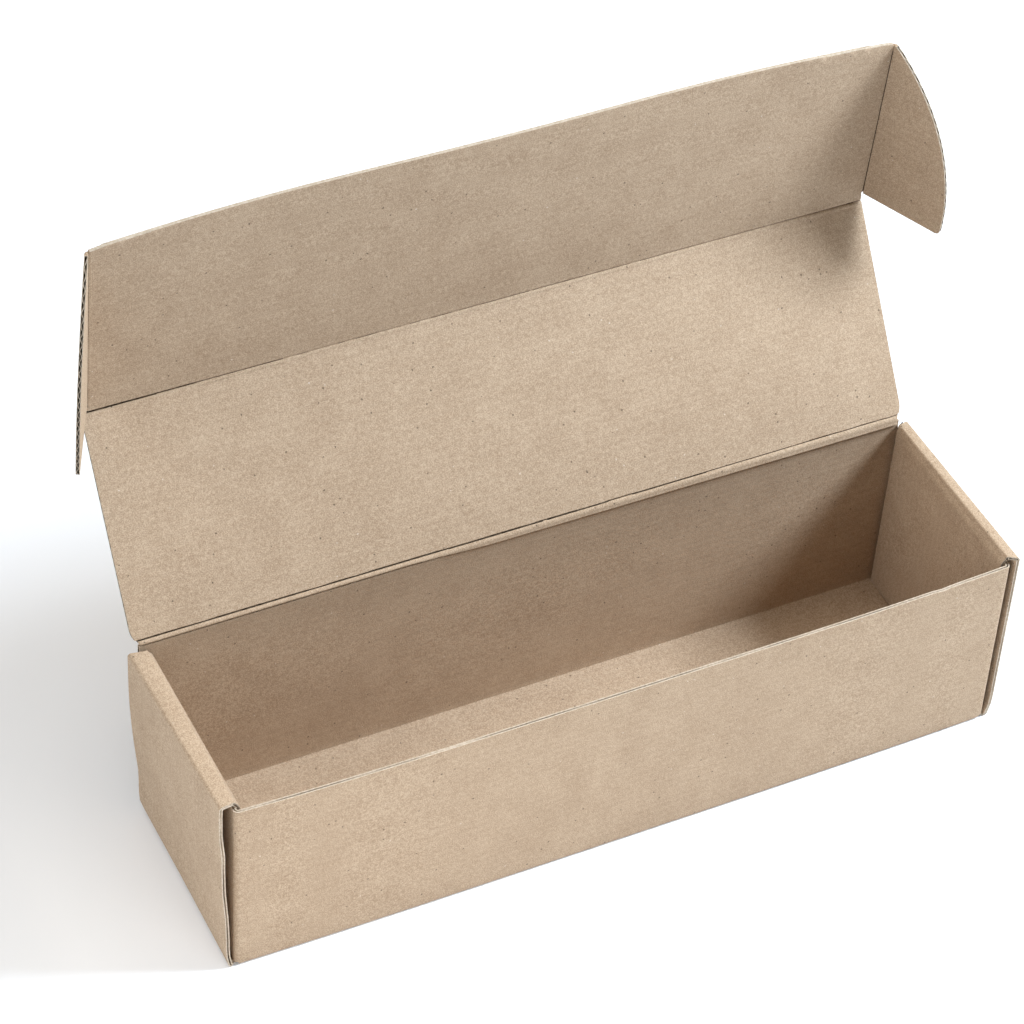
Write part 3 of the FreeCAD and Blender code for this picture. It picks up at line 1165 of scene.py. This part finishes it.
@dataclass
class Panel(Leaf):
    """The lid or the tuck flap.

    Args:
        half_width: half its width along the crease.
        reach: how far it goes from the crease.
        root: how far from the crease the board itself starts, past the crease's liner.
        corner_run: how far up its sides the cut corners by the crease go.
        corner_inset: how far in they go.
        warp: how far its middle stands off flat.
        bow: how far the middle of its far edge bends back.
        drift: how far its left and right edges lie off along X, at the crease and at the far edge.
        side_rim: what its two side edges are.
        far_rim: what its far edge is.
        edge_round: the radius of a round rim.
        press_run: how far from a round far edge the knife has pressed the board.
        press: how far it has pressed the inner liner back there.
        tip_run: the stretch at each end of that edge in which it rounds off.
        tip_drop: how far it drops there.
    """

    half_width: float
    reach: float
    root: float = 0.7 * MM
    corner_run: float = 0.0
    corner_inset: float = 0.0
    warp: float = 0.3 * MM
    bow: float = 0.0
    drift: tuple[Pair, Pair] = ((0.0, 0.0), (0.0, 0.0))
    side_rim: Rim = Rim.OPEN
    far_rim: Rim = Rim.CREASE
    edge_round: float = 0.6 * MM
    press_run: float = 1.5 * MM
    press: float = 0.25 * MM
    tip_run: float = 3 * MM
    tip_drop: float = 0.35 * MM

    def width_at(self, y: float) -> float:
        """Work out the panel's width near its cut corners.

        Args:
            y: the distance from its crease.

        Returns:
            Half the width there.
        """
        if self.corner_run <= 0 or y >= self.corner_run:
            return self.half_width
        share = 1 - y / self.corner_run
        return self.half_width - self.corner_inset * share ** 1.6

    def drift_at(self, u: float, y: float) -> float:
        """Work out how far the panel lies off along X.

        Args:
            u: the share of its width, from its left edge.
            y: the distance from its crease.

        Returns:
            The distance.
        """
        share = clamp(y / self.reach)
        near, far = ((1 - u) * left + u * right for left, right in self.drift)
        return near * (1 - share) + far * share

    def build(self) -> bpy.types.Object:
        """Build the panel.

        Returns:
            The panel, in place.
        """
        board = self.maker.board
        columns = even(0, 1, math.ceil(2 * self.half_width / board.step))
        rows = [self.root]
        rows += [y for y in even(0, self.corner_run, 6) if y > self.root + board.half]
        rows += rows_between(rows[-1], self.reach, board.step) + [self.reach]

        def place(u: float, y: float) -> Vector:
            """A point of the nearly flat sheet."""
            x = (2 * u - 1) * self.width_at(y)
            bow = math.sin(math.pi * min(1.0, y / self.reach)) * math.cos(math.pi * (u - 0.5))
            z = self.warp * bow * (0.5 + ripple(Vector((x, y, 0)), 120 * MM, self.half_width))
            bent = math.sin(math.pi * u) + 0.28 * math.sin(3 * math.pi * u)
            z -= self.bow * bent * max(0.0, y / self.reach) ** 1.6
            return Vector((x + self.drift_at(u, y), y, z))

        sheet = new_grid(f"{self.name}_board", columns, rows, place, lambda u, y: y)
        self.maker.thicken(sheet)
        if self.far_rim is Rim.ROUND:
            self.round_far(sheet)
        self.maker.open_edges(sheet, self.rim_of)
        waves = self.side_flutes() if self.side_rim is Rim.OPEN else []
        return self.finish(sheet, *waves)

    def rim_of(self, face: bpy.types.MeshPolygon) -> Rim:
        """What the panel's rim is at a face."""
        if abs(face.normal.x) > 0.6 and face.center.y > self.maker.board.half:
            return self.side_rim
        return self.far_rim if face.center.y > self.reach / 2 else Rim.CREASE

    def round_far(self, sheet: bpy.types.Object) -> None:
        """Round the far edge, which the knife has pressed shut, and its two corners.

        Args:
            sheet: the thickened sheet.
        """
        board = self.maker.board
        for vertex in sheet.data.vertices:
            at = vertex.co
            if self.reach - at.y >= self.press_run:
                continue
            if at.z > 0:
                at.y -= self.press * (0.5 + ripple(at, 30 * MM, 2.2))
            corner = self.half_width - abs(at.x)
            if corner < self.tip_run:
                at.y -= self.tip_drop * (1 - corner / self.tip_run) ** 2
        with Shaping(sheet) as shaping:
            near = self.reach - self.press_run - 0.1 * MM
            shaping.pick("EDGE", lambda e: all(v.co.y > near for v in e.verts)
                         and abs(abs(e.verts[0].co.z) - board.half) < board.half / 2
                         and abs(e.verts[0].co.z - e.verts[1].co.z) < board.half
                         and len({f.material_index for f in e.link_faces}) > 1)
            bpy.ops.mesh.bevel(offset=self.edge_round, segments=3, affect="EDGES")

    def side_flutes(self) -> list[bpy.types.Object]:
        """Make the flutes that show in the panel's two side edges.

        Returns:
            The two waves of fluting paper.
        """
        board = self.maker.board
        swap = Matrix(((0, 1, 0, 0), (1, 0, 0, 0), (0, 0, 1, 0), (0, 0, 0, 1)))
        waves = []
        for side in (-1, 1):
            wave = self.maker.flutes(f"{self.name}_flutes", self.root + board.half,
                                     self.reach - board.thickness,
                                     lambda y, s=side: s * self.width_at(y)
                                     + self.drift_at((s + 1) / 2, y), -side)
            wave.data.transform(swap)
            waves.append(wave)
        return waves


@dataclass
class Ear(Leaf):
    """A curved ear of the tuck flap. Its crease goes from the lid to the flap's free edge.

    Args:
        start: where its straight edge is, along local X.
        end: where its arc ends, along local X.
        reach: how far its tip is from the crease.
        arc_radius: the radius of its curved edge.
        tip_radius: the radius of its tip's round.
        root: how far from the crease the board itself starts, past the crease's liner.
        blunt: how far short of its arc's end the board stops.
        warp: how far its middle stands off flat.
        step: the longest stretch between two rows of its mesh.
        columns: the faces from its crease to its edge.
    """

    start: float
    end: float
    reach: float
    arc_radius: float = 97 * MM
    tip_radius: float = 2 * MM
    root: float = 0.7 * MM
    blunt: float = 1.2 * MM
    warp: float = 0.1 * MM
    step: float = 2.5 * MM
    columns: int = 8

    def rim_of(self, face: bpy.types.MeshPolygon) -> Rim:
        """What the ear's rim is at a face."""
        if face.center.y < self.root + 0.02 * MM or face.normal.x > 0.95:
            return Rim.CREASE
        return Rim.CRUSHED if face.normal.x < -0.8 else Rim.OPEN

    def edge_at(self, x: float) -> float:
        """Follow the ear's arc and the round of its tip.

        Args:
            x: a place along its crease.

        Returns:
            How far the ear reaches from its crease there.
        """
        a, b = Vector((self.end, 0)), Vector((self.start, self.reach))
        chord = b - a
        inward = Vector((-chord.y, chord.x)).normalized()
        centre = (a + b) / 2 + inward * math.sqrt(self.arc_radius ** 2 - chord.length_squared / 4)
        arc = centre.y + math.sqrt(max(0.0, self.arc_radius ** 2 - (x - centre.x) ** 2))
        run = x - self.start
        if run < self.tip_radius:
            drop = self.tip_radius - math.sqrt(max(0.0, self.tip_radius ** 2
                                                   - (self.tip_radius - run) ** 2))
            arc -= drop
        return max(0.0, arc)

    def build(self) -> bpy.types.Object:
        """Build the ear.

        Returns:
            The ear, in place.
        """
        rows = [self.start + self.tip_radius * (1 - math.cos(turn))
                for turn in even(0, math.pi / 2, 6)]
        top = self.end - self.blunt
        rows += rows_between(rows[-1], top, self.step) + [top]

        def place(u: float, x: float) -> Vector:
            """A point of the nearly flat sheet."""
            far = max(self.edge_at(x), self.root + 0.1 * MM)
            warp = self.warp * math.sin(u * 2.2) * ripple(Vector((x, u, 0)), 60 * MM, 5.0)
            return Vector((x, self.root + u * (far - self.root), warp))

        sheet = new_grid(f"{self.name}_board", even(0, 1, self.columns), rows, place,
                         lambda u, x: x)
        self.maker.thicken(sheet)
        self.maker.open_edges(sheet, self.rim_of)
        wave = self.maker.flutes(f"{self.name}_flutes", self.start + 0.8 * MM,
                                 self.end - self.blunt - 1.0 * MM, self.edge_at, -1)
        return self.finish(sheet, wave)


@dataclass(frozen=True)
class Fold:
    """How the liner lies over a crease, at a share of the crease's length. Places are along the
    flat sheet from the crease, less than zero on the first panel, in metres.

    Args:
        bead: the height of the bead that the scorer has pushed up.
        bead_from: where the bead starts.
        bead_to: where it ends.
        crest: where it is highest.
        grooves: where its dark lines are: grooves floored with the fluting paper, darkened as
            painted shade.
        depth: how deep they are.
        groove_half: half the width of one.
    """

    bead: float = 0.0
    bead_from: float = -1.0 * MM
    bead_to: float = 1.0 * MM
    crest: float = 0.0
    grooves: tuple[float, ...] = ()
    depth: float = 0.0
    groove_half: float = 0.34 * MM

    def toward(self, other: "Fold", share: float) -> "Fold":
        """A fold part of the way from this one to another.

        Args:
            other: the other fold.
            share: how much of it there is, from 0 to 1.

        Returns:
            The fold between them.
        """
        if share <= 0 or share >= 1:
            return other if share >= 1 else self
        names = ("bead", "bead_from", "bead_to", "crest", "depth", "groove_half")
        sizes = {name: (1 - share) * getattr(self, name) + share * getattr(other, name)
                 for name in names}
        return Fold(grooves=self.grooves if share < 0.5 else other.grooves, **sizes)

    def height(self, place: float) -> float:
        """Work out how far the liner stands up.

        Args:
            place: the place along the flat sheet.

        Returns:
            The height of its bead there, or less than zero in a groove.
        """
        rise = 0.0
        if self.bead_from < place <= self.crest:
            away = (self.crest - place) / (self.crest - self.bead_from)
            rise = self.bead * math.sqrt(max(0.0, 1 - away ** 2))
        elif self.crest < place < self.bead_to:
            rise = self.bead * (self.bead_to - place) / (self.bead_to - self.crest)
        for groove in self.grooves:
            away = abs(place - groove) / self.groove_half
            rise -= self.depth * clamp((1 - away) / 0.35)
        return rise

    def in_groove(self, place: float) -> bool:
        """Whether a place is in a groove, where the fluting paper shows, darkened as painted
        shade.
        """
        return any(abs(place - groove) < self.groove_half * 0.85 for groove in self.grooves)


def smooth_fold(share: float) -> Fold:
    """A crease on the outside: the liner goes round it whole."""
    return Fold()


@dataclass
class Crease:
    """The liner where the board bends from one panel to the next.

    Args:
        maker: the board it is made of.
        name: the piece's name.
        bodies: the bodies of the first and second panel.
        start: one end of the crease's axis.
        end: the other end.
        first: the way the first panel goes from the crease.
        second: the way the second panel goes from the crease.
        inner_first: the first panel's inner normal.
        inner_second: the second panel's inner normal.
        side: the face of the board that the liner is on.
        fold: gives how it lies at each share of its length.
        reach: how far it goes along each panel.
        limit: gives how far it may go along the second panel at each share of its length.
        flare: gives how much wider it is, to each side, at each distance along the second panel.
        proud: how far it lies over the panels' own liners.
        thickness: its thickness.
        turn: half the stretch in which it bends; not used.
        round_half: half the stretch in which it rounds from one panel to the other.
        nose: the stretch at each end in which it is pressed shut.
        tail: the stretch at each long edge in which it sinks into the panel's liner.
        sink: how far it sinks below that liner.
        row: the width of its mesh's rows.
        column: the width of its mesh's columns.
    """

    maker: BoardPiece
    name: str
    bodies: tuple[str, str]
    start: Vector
    end: Vector
    first: Vector
    second: Vector
    inner_first: Vector
    inner_second: Vector
    side: Side = Side.OUTER
    fold: Callable[[float], Fold] = smooth_fold
    reach: float = 2.6 * MM
    limit: Callable[[float], float] = lambda share: 1.0
    flare: Callable[[float], float] = lambda along: 0.0
    proud: float = 0.04 * MM
    thickness: float = 0.2 * MM
    turn: float = 1.2 * MM
    round_half: float = 0.8 * MM
    nose: float = 0.8 * MM
    tail: float = 0.3 * MM
    sink: float = 0.12 * MM
    row: float = 0.16 * MM
    column: float = 1.6 * MM

    def place_of(self, share: float, along: float) -> Vector:
        """Where the liner is.

        Args:
            share: the share of the crease's length.
            along: the distance from the crease along the flat sheet.

        Returns:
            The offset from the crease's axis.
        """
        sign = self.side.value
        edge = self.reach if along < 0 else min(self.reach, self.limit(share))
        along = max(-edge, min(edge, along))
        sunk = max(0.0, 1 - (edge - abs(along)) / self.tail) * (self.proud + self.sink)
        height = self.maker.board.half + self.proud + self.fold(share).height(along) - sunk
        run = min(share, 1 - share) * (self.end - self.start).length
        height *= math.sqrt(max(0.0, 1 - max(0.0, 1 - run / self.nose) ** 2))
        on_first = self.first * -along + self.inner_first * sign * height
        on_second = self.second * along + self.inner_second * sign * height
        blend = clamp((along + self.round_half) / (2 * self.round_half))
        blend = blend * blend * (3 - 2 * blend)
        return on_first * (1 - blend) + on_second * blend

    def build(self) -> bpy.types.Object:
        """Build the liner.

        Returns:
            The piece, in place.
        """
        axis = self.end - self.start
        nose = self.nose / axis.length
        near = [nose * (1 - math.cos(turn)) for turn in even(0, math.pi / 2, 5)]
        shares = near + rows_between(nose, 1 - nose, self.column / axis.length)
        shares += [1 - share for share in reversed(near)]
        places = even(-self.reach, self.reach, math.ceil(2 * self.reach / self.row))

        def place(share: float, along: float) -> Vector:
            """A point of the liner."""
            wider = axis.normalized() * (2 * share - 1) * self.flare(max(0.0, along))
            return self.start + axis * share + wider + self.place_of(share, along)

        strip = new_grid(self.name, shares, places, place, lambda share, along: along)
        with Shaping(strip) as shaping:
            shaping.take_all()
            bpy.ops.mesh.remove_doubles(threshold=TOUCH / 10)
        self.face_out(strip)
        self.maker.finishes.dress(strip)
        along = strip.data.attributes[ACROSS].data
        for face in strip.data.polygons:
            share = (face.center - self.start).dot(axis) / axis.length_squared
            middle = sum(along[i].value for i in face.vertices) / len(face.vertices)
            # Groove faces take the fluting paper, darkened as painted shade for the crease's dark
            # line.
            if self.fold(share).in_groove(middle):
                face.material_index = Skin.FLUTE.value
        apply(strip, "SOLIDIFY", thickness=self.thickness, offset=-1.0)
        soften(strip, 60)
        return strip

    def face_out(self, strip: bpy.types.Object) -> None:
        """Turn the strip's faces so that they look away from the board.

        Args:
            strip: the liner, before it has any thickness.
        """
        out = (self.inner_first + self.inner_second) * self.side.value
        total = sum((f.normal * f.area for f in strip.data.polygons), Vector())
        if total.dot(out) < 0:
            with Shaping(strip) as shaping:
                shaping.take_all()
                bpy.ops.mesh.flip_normals()

    def ride(self, strip: bpy.types.Object) -> None:
        """Bake the liner's place into its mesh."""
        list(self.bodies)
        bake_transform(strip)


def hinge_fold(share: float) -> Fold:
    """The lid's crease on the inside: scored through on its left, where it shows two dark lines,
    and crushed to one pale bead on the rest, which widens to the right."""
    wave = ripple(Vector((share * LONG_CREASE, 0, 0)), 9 * MM, 2.0)
    crushed = clamp((share - 0.34) / 0.1)
    widening = max(0.0, (share - 0.38) / 0.62)
    scored = Fold(bead=(0.4 + 0.1 * wave) * MM, bead_from=-0.4 * MM, crest=0.1 * MM,
                  bead_to=1.1 * MM, grooves=((1.45 + 0.15 * wave) * MM, (0.15 * wave - 0.8) * MM),
                  depth=0.75 * MM, groove_half=(0.4 + 0.1 * wave) * MM)
    bead = Fold(bead=(0.7 + 0.4 * widening + 0.05 * wave) * MM,
                bead_from=-(1.7 + 0.8 * widening) * MM, crest=-(1.2 + 0.9 * widening) * MM,
                bead_to=1.0 * MM, grooves=((1.3 + 0.12 * wave) * MM,),
                depth=(0.6 + 0.1 * wave) * MM,
                groove_half=(0.34 - 0.08 * widening + 0.1 * wave) * MM)
    return scored.toward(bead, crushed)


def tuck_fold(share: float) -> Fold:
    """The tuck flap's crease on the inside: open and dark at its left end, then cracked, and
    softer to the right."""
    wave = ripple(Vector((share * LONG_CREASE, 5, 0)), 6 * MM, 9.0)
    if share < 0.13:
        return Fold(grooves=(-0.1 * MM,), depth=0.8 * MM, groove_half=(0.75 - 1.5 * share) * MM)
    if share < 0.24:
        return Fold(bead=(0.45 + 0.25 * wave) * MM, bead_from=-2.0 * MM, crest=-1.2 * MM,
                    bead_to=-0.6 * MM, grooves=((-0.1 + 0.2 * wave) * MM,), depth=0.7 * MM,
                    groove_half=(0.3 + 0.2 * wave) * MM)
    return Fold(bead=(0.22 + 0.12 * wave) * MM, bead_from=-2.0 * MM, crest=-1.2 * MM,
                bead_to=-0.4 * MM, grooves=((0.1 * wave) * MM,), depth=(0.5 + 0.2 * share) * MM,
                groove_half=max(0.02, 0.14 + 0.25 * wave + 0.16 * share) * MM)


def ear_fold(share: float) -> Fold:
    """An ear's crease on the inside: one sharp dark line."""
    if share > 0.97:
        return Fold()
    return Fold(grooves=(0.0,), depth=0.82 * MM, groove_half=0.68 * MM)


# The studio

@dataclass(frozen=True)
class Softbox:
    """A square light.

    Args:
        name: its name.
        place: where it is, in metres.
        target: the place on the floor that it is aimed at.
        size: the length of its sides, in metres.
        power: in watts.
        tint: the colour of its light.
    """

    name: str
    place: tuple[float, float, float]
    target: Pair
    size: float
    power: float
    tint: str

    def build(self) -> None:
        """Hang it up, out of the camera's sight."""
        light = bpy.data.lights.new(self.name, "AREA")
        light.color = linear(self.tint)[:3]
        light.size = self.size
        light.energy = self.power
        lamp = bpy.data.objects.new(self.name, light)
        bpy.context.scene.collection.objects.link(lamp)
        lamp.location = self.place
        lamp.visible_camera = False
        aim = Vector((*self.target, 0)) - Vector(self.place)
        lamp.rotation_euler = aim.to_track_quat("-Z", "Y").to_euler()


@dataclass(frozen=True)
class Studio:
    """A white floor, a cool key light from the right, a warm one overhead, fill lights from the
    left and over the front wall, and the camera.

    Args:
        camera_place: where the camera is, in metres.
        azimuth: the way it looks, in degrees from +Y towards +X.
        elevation: how far it looks down, in degrees.
        roll: how far it is turned about its line of sight, in degrees.
        lens: its focal length in millimetres, on a 36 mm sensor.
        surround: the strength of the light from all round.
        softboxes: the lights.
    """

    camera_place: tuple[float, float, float] = (-551.26 * MM, -941.99 * MM, 1161.44 * MM)
    azimuth: float = 28.624
    elevation: float = 43.078
    roll: float = 3.93
    lens: float = 131.97
    surround: float = 0.03
    softboxes: tuple[Softbox, ...] = (
        Softbox("key_softbox", (1.1, -0.35, 1.1), (0, 0), 0.5, 41.0, "E2F0FF"),
        Softbox("overhead_softbox", (0.0, 0.3, 2.2), (0, 0), 1.8, 23.0, "FFF7EC"),
        Softbox("left_softbox", (-1.6, 0.3, 1.0), (0, 0), 1.0, 15.0, "EAF4FF"),
        Softbox("low_left_softbox", (-2.0, -0.6, 0.8), (0, 0), 1.2, 6.0, "EAF4FF"),
        Softbox("front_softbox", (-0.24, -0.4, 0.25), (-0.24, -0.4), 0.4, 1.1, "FFFFFF"))

    def build(self) -> None:
        """Set up the floor, the lights and the camera."""
        self.floor()
        self.lights()
        self.camera()

    def floor(self) -> None:
        """Lay a white floor, a hair below the box so that it never shows through the base."""
        choose()
        bpy.ops.mesh.primitive_plane_add(size=8, location=(0, 0, -0.05 * MM))
        floor = bpy.context.object
        floor.name = "studio_floor"
        r = Recipe("white_paper_sweep")
        r.set(Base_Color=linear("FDFDFD"), Roughness=0.9, Specular_IOR_Level=0.1)
        floor.data.materials.append(r.material)

    def lights(self) -> None:
        """Hang up the lights, and give the surround a little of its own."""
        world = bpy.data.worlds.new("studio_surround")
        bpy.context.scene.world = world
        world.use_nodes = True
        surround = world.node_tree.nodes["Background"]
        surround.inputs["Color"].default_value = linear("FFFFFF")
        surround.inputs["Strength"].default_value = self.surround
        for softbox in self.softboxes:
            softbox.build()

    def camera(self) -> None:
        """Set up the camera where the photograph was taken from."""
        lens = bpy.data.cameras.new("camera")
        lens.lens = self.lens
        camera = bpy.data.objects.new("camera", lens)
        bpy.context.scene.collection.objects.link(camera)
        turn, tilt = math.radians(self.azimuth), math.radians(self.elevation)
        look = Vector((math.sin(turn) * math.cos(tilt), math.cos(turn) * math.cos(tilt),
                       -math.sin(tilt)))
        rolled = Matrix.Rotation(math.radians(self.roll), 3, "Z")
        facing = look.to_track_quat("-Z", "Y").to_matrix() @ rolled
        camera.matrix_world = Matrix.Translation(self.camera_place) @ facing.to_4x4()
        bpy.context.scene.camera = camera
        bpy.context.scene.view_settings.view_transform = "Standard"


@dataclass
class Box:
    """The whole box, laid out on the frame's joints.

    Args:
        maker: the board it is made of.
        frame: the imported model.
        lid_drift: how far the lid's left and right edges lie off along X, at each of its creases.
        flap_drift: how far the tuck flap's do, at its crease and at its free edge.
        lid_root: how far from its hinge the lid's own board starts.
        lid_corner: how far up its sides and how far in the lid's cut corners go.
        flap_bend: how far the middle of the tuck flap's free edge bends back.
    """

    maker: BoardPiece
    frame: dict
    lid_drift: tuple[Pair, Pair] = ((-2.5 * MM, -1.2 * MM), (-1.4 * MM, -1.2 * MM))
    flap_drift: tuple[Pair, Pair] = ((-0.15 * MM, -0.1 * MM), (-0.05 * MM, 0.1 * MM))
    lid_root: float = 1.9 * MM
    lid_corner: Pair = (6 * MM, 2.2 * MM)
    flap_bend: float = 4.4 * MM

    def __post_init__(self) -> None:
        """Take from the frame where the creases are, and which way the panels go."""
        self.hinge, self.tuck = self.place_of("lid_hinge"), self.place_of("tuck_crease")
        self.lid_way = (self.tuck - self.hinge).normalized()
        self.flap_way = self.axis_of("ear_left_crease")
        self.inner_lid = X_AXIS.cross(self.lid_way)
        self.inner_flap = X_AXIS.cross(self.flap_way)
        low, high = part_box("tuck_flap")
        self.flap_half = high.x
        self.flap_reach = max((Vector((0, y, high.z)) - self.tuck).dot(self.flap_way)
                              for y in (low.y, high.y))

    def flap_shift(self, sign: int, share: float) -> float:
        """How far the flap's end lies off along X.

        Args:
            sign: -1 for the left end and 1 for the right.
            share: the place, from 0 at the lid to 1 at the flap's free edge.

        Returns:
            The distance.
        """
        near, far = (pair[(sign + 1) // 2] for pair in self.flap_drift)
        return near * (1 - share) + far * share

    def joint(self, name: str) -> dict:
        """A joint of the frame, by its name."""
        return next(j for j in self.frame["joints"] if j["name"] == name)

    def place_of(self, joint: str) -> Vector:
        """A joint's point in the frame."""
        return Vector(self.joint(joint)["pos_m"])

    def axis_of(self, joint: str) -> Vector:
        """A joint's axis in the frame."""
        return Vector(self.joint(joint)["axis"]).normalized()

    @staticmethod
    def axes(origin: Vector, first: Vector, second: Vector) -> Matrix:
        """Lay out a panel's own frame.

        Args:
            origin: where its origin is.
            first: the way of its X.
            second: the way of its Y.

        Returns:
            The matrix that takes the panel's places to the row's frame.
        """
        third = first.cross(second)
        turn = Matrix((first, second, third)).transposed()
        return Matrix.Translation(origin) @ turn.to_4x4()

    def add(self, piece: bpy.types.Object, node: str) -> None:
        """Put a piece in the place of a CAD node.

        Args:
            piece: the piece.
            node: the node's name, which is its body's too.
        """
        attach(piece, node)
        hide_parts(node)
        log.info("%s: %d faces", piece.name, len(piece.data.polygons))

    def build(self) -> None:
        """Build every piece of the box."""
        self.add(Tray(self.maker, *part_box("tray")).build(), "tray")
        lid, flap = self.panels()
        for panel in (lid, flap):
            self.add(panel.build(), panel.name)
        creases = self.long_creases(lid)
        for name, sign in (("ear_right", 1), ("ear_left", -1)):
            creases.append(self.build_ear(name, sign))
        for side in Side:
            for inner in creases:
                fold = inner.fold if side is Side.INNER else smooth_fold
                crease = replace(inner, name=f"{inner.name}_{side.name.lower()}", side=side,
                                 fold=fold)
                strip = crease.build()
                crease.ride(strip)
                log.info("%s: %d faces", strip.name, len(strip.data.polygons))

    def panels(self) -> tuple[Panel, Panel]:
        """Lay out the lid and the tuck flap.

        Returns:
            The two panels, not built yet.
        """
        board = self.maker.board
        run, inset = self.lid_corner
        lid = Panel(self.maker, "lid", self.axes(self.hinge, X_AXIS, self.lid_way),
                    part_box("lid")[1].x,
                    (self.tuck - self.hinge).length - board.half - board.crease_gap,
                    root=self.lid_root, corner_run=run, corner_inset=inset,
                    drift=self.lid_drift)
        flap = Panel(self.maker, "tuck_flap", self.axes(self.tuck, X_AXIS, self.flap_way),
                     self.flap_half, self.flap_reach, warp=0.2 * MM, bow=self.flap_bend,
                     drift=self.flap_drift, side_rim=Rim.CREASE, far_rim=Rim.ROUND)
        return lid, flap

    def long_creases(self, lid: Panel) -> list[Crease]:
        """Lay out the lid's hinge and the tuck flap's crease.

        Args:
            lid: the lid, whose cut corners the hinge follows.

        Returns:
            The inner liners of the two creases.
        """
        left, right = self.lid_drift[0]
        hinge_half = lid.width_at(0.0)
        tuck_half = self.flap_half + 0.8 * MM
        hinge = Crease(
            self.maker, "hinge_crease", ("tray", "lid"),
            self.hinge + X_AXIS * (0.8 * left - hinge_half),
            self.hinge + X_AXIS * (right + hinge_half),
            -Z_AXIS, self.lid_way, -Y_AXIS, self.inner_lid, fold=hinge_fold, reach=3.2 * MM,
            flare=lambda along: lid.width_at(along) - hinge_half)
        tuck = Crease(
            self.maker, "tuck_crease", ("lid", "tuck_flap"),
            self.tuck + X_AXIS * (self.flap_shift(-1, 0) - tuck_half),
            self.tuck + X_AXIS * (self.flap_shift(1, 0) + tuck_half),
            -self.lid_way, self.flap_way, self.inner_lid, self.inner_flap, fold=tuck_fold)
        return [hinge, tuck]

    def build_ear(self, name: str, sign: int) -> Crease:
        """Build one ear of the tuck flap, and lay out its crease.

        Args:
            name: its node's name.
            sign: 1 for the right ear and -1 for the left one.

        Returns:
            The inner liner of its crease.
        """
        joint = self.joint(f"{name}_crease")
        origin = Vector(joint["pos_m"])
        corners = [v.co - origin for v in self.frame["nodes"][name].data.vertices]
        shut = math.radians(max(joint["range_deg"]))
        way = Matrix.Rotation(-shut, 3, Vector(joint["axis"]).normalized()) @ self.inner_flap
        heights = [corner.dot(self.flap_way) for corner in corners]
        ear = Ear(self.maker, name, self.axes(origin, self.flap_way, way), min(heights),
                  max(heights), max(corner.dot(way) for corner in corners))
        piece = ear.build()
        for vertex in piece.data.vertices:
            share = (vertex.co - origin).dot(self.flap_way) / self.flap_reach
            vertex.co.x += self.flap_shift(sign, share)
        self.add(piece, name)

        bottom, top = ear.start + 0.15 * MM, ear.end - 1.0 * MM
        ends = (origin + self.flap_way * height
                + X_AXIS * self.flap_shift(sign, height / self.flap_reach)
                for height in (bottom, top))
        inner_ear = (self.inner_flap - way * self.inner_flap.dot(way)).normalized()
        return Crease(
            self.maker, f"{name}_crease", ("tuck_flap", name), *ends, X_AXIS * -sign, way,
            self.inner_flap, inner_ear, fold=ear_fold, reach=2.0 * MM,
            limit=lambda share: max(0.35 * MM, ear.edge_at(bottom + (top - bottom) * share)
                                    - 0.1 * MM))


def main() -> None:
    """Load the frame, build the box on it and set up the studio."""
    logging.basicConfig(level=logging.INFO, format="%(name)s: %(message)s")
    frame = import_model()
    Studio().build()
    finishes = Finishes(KraftLiner().material(), RawEdge().material(), FlutingPaperWithPaintedShade().material())
    Box(BoardPiece(Board(), finishes), frame).build()


if __name__ == "__main__":
    main()
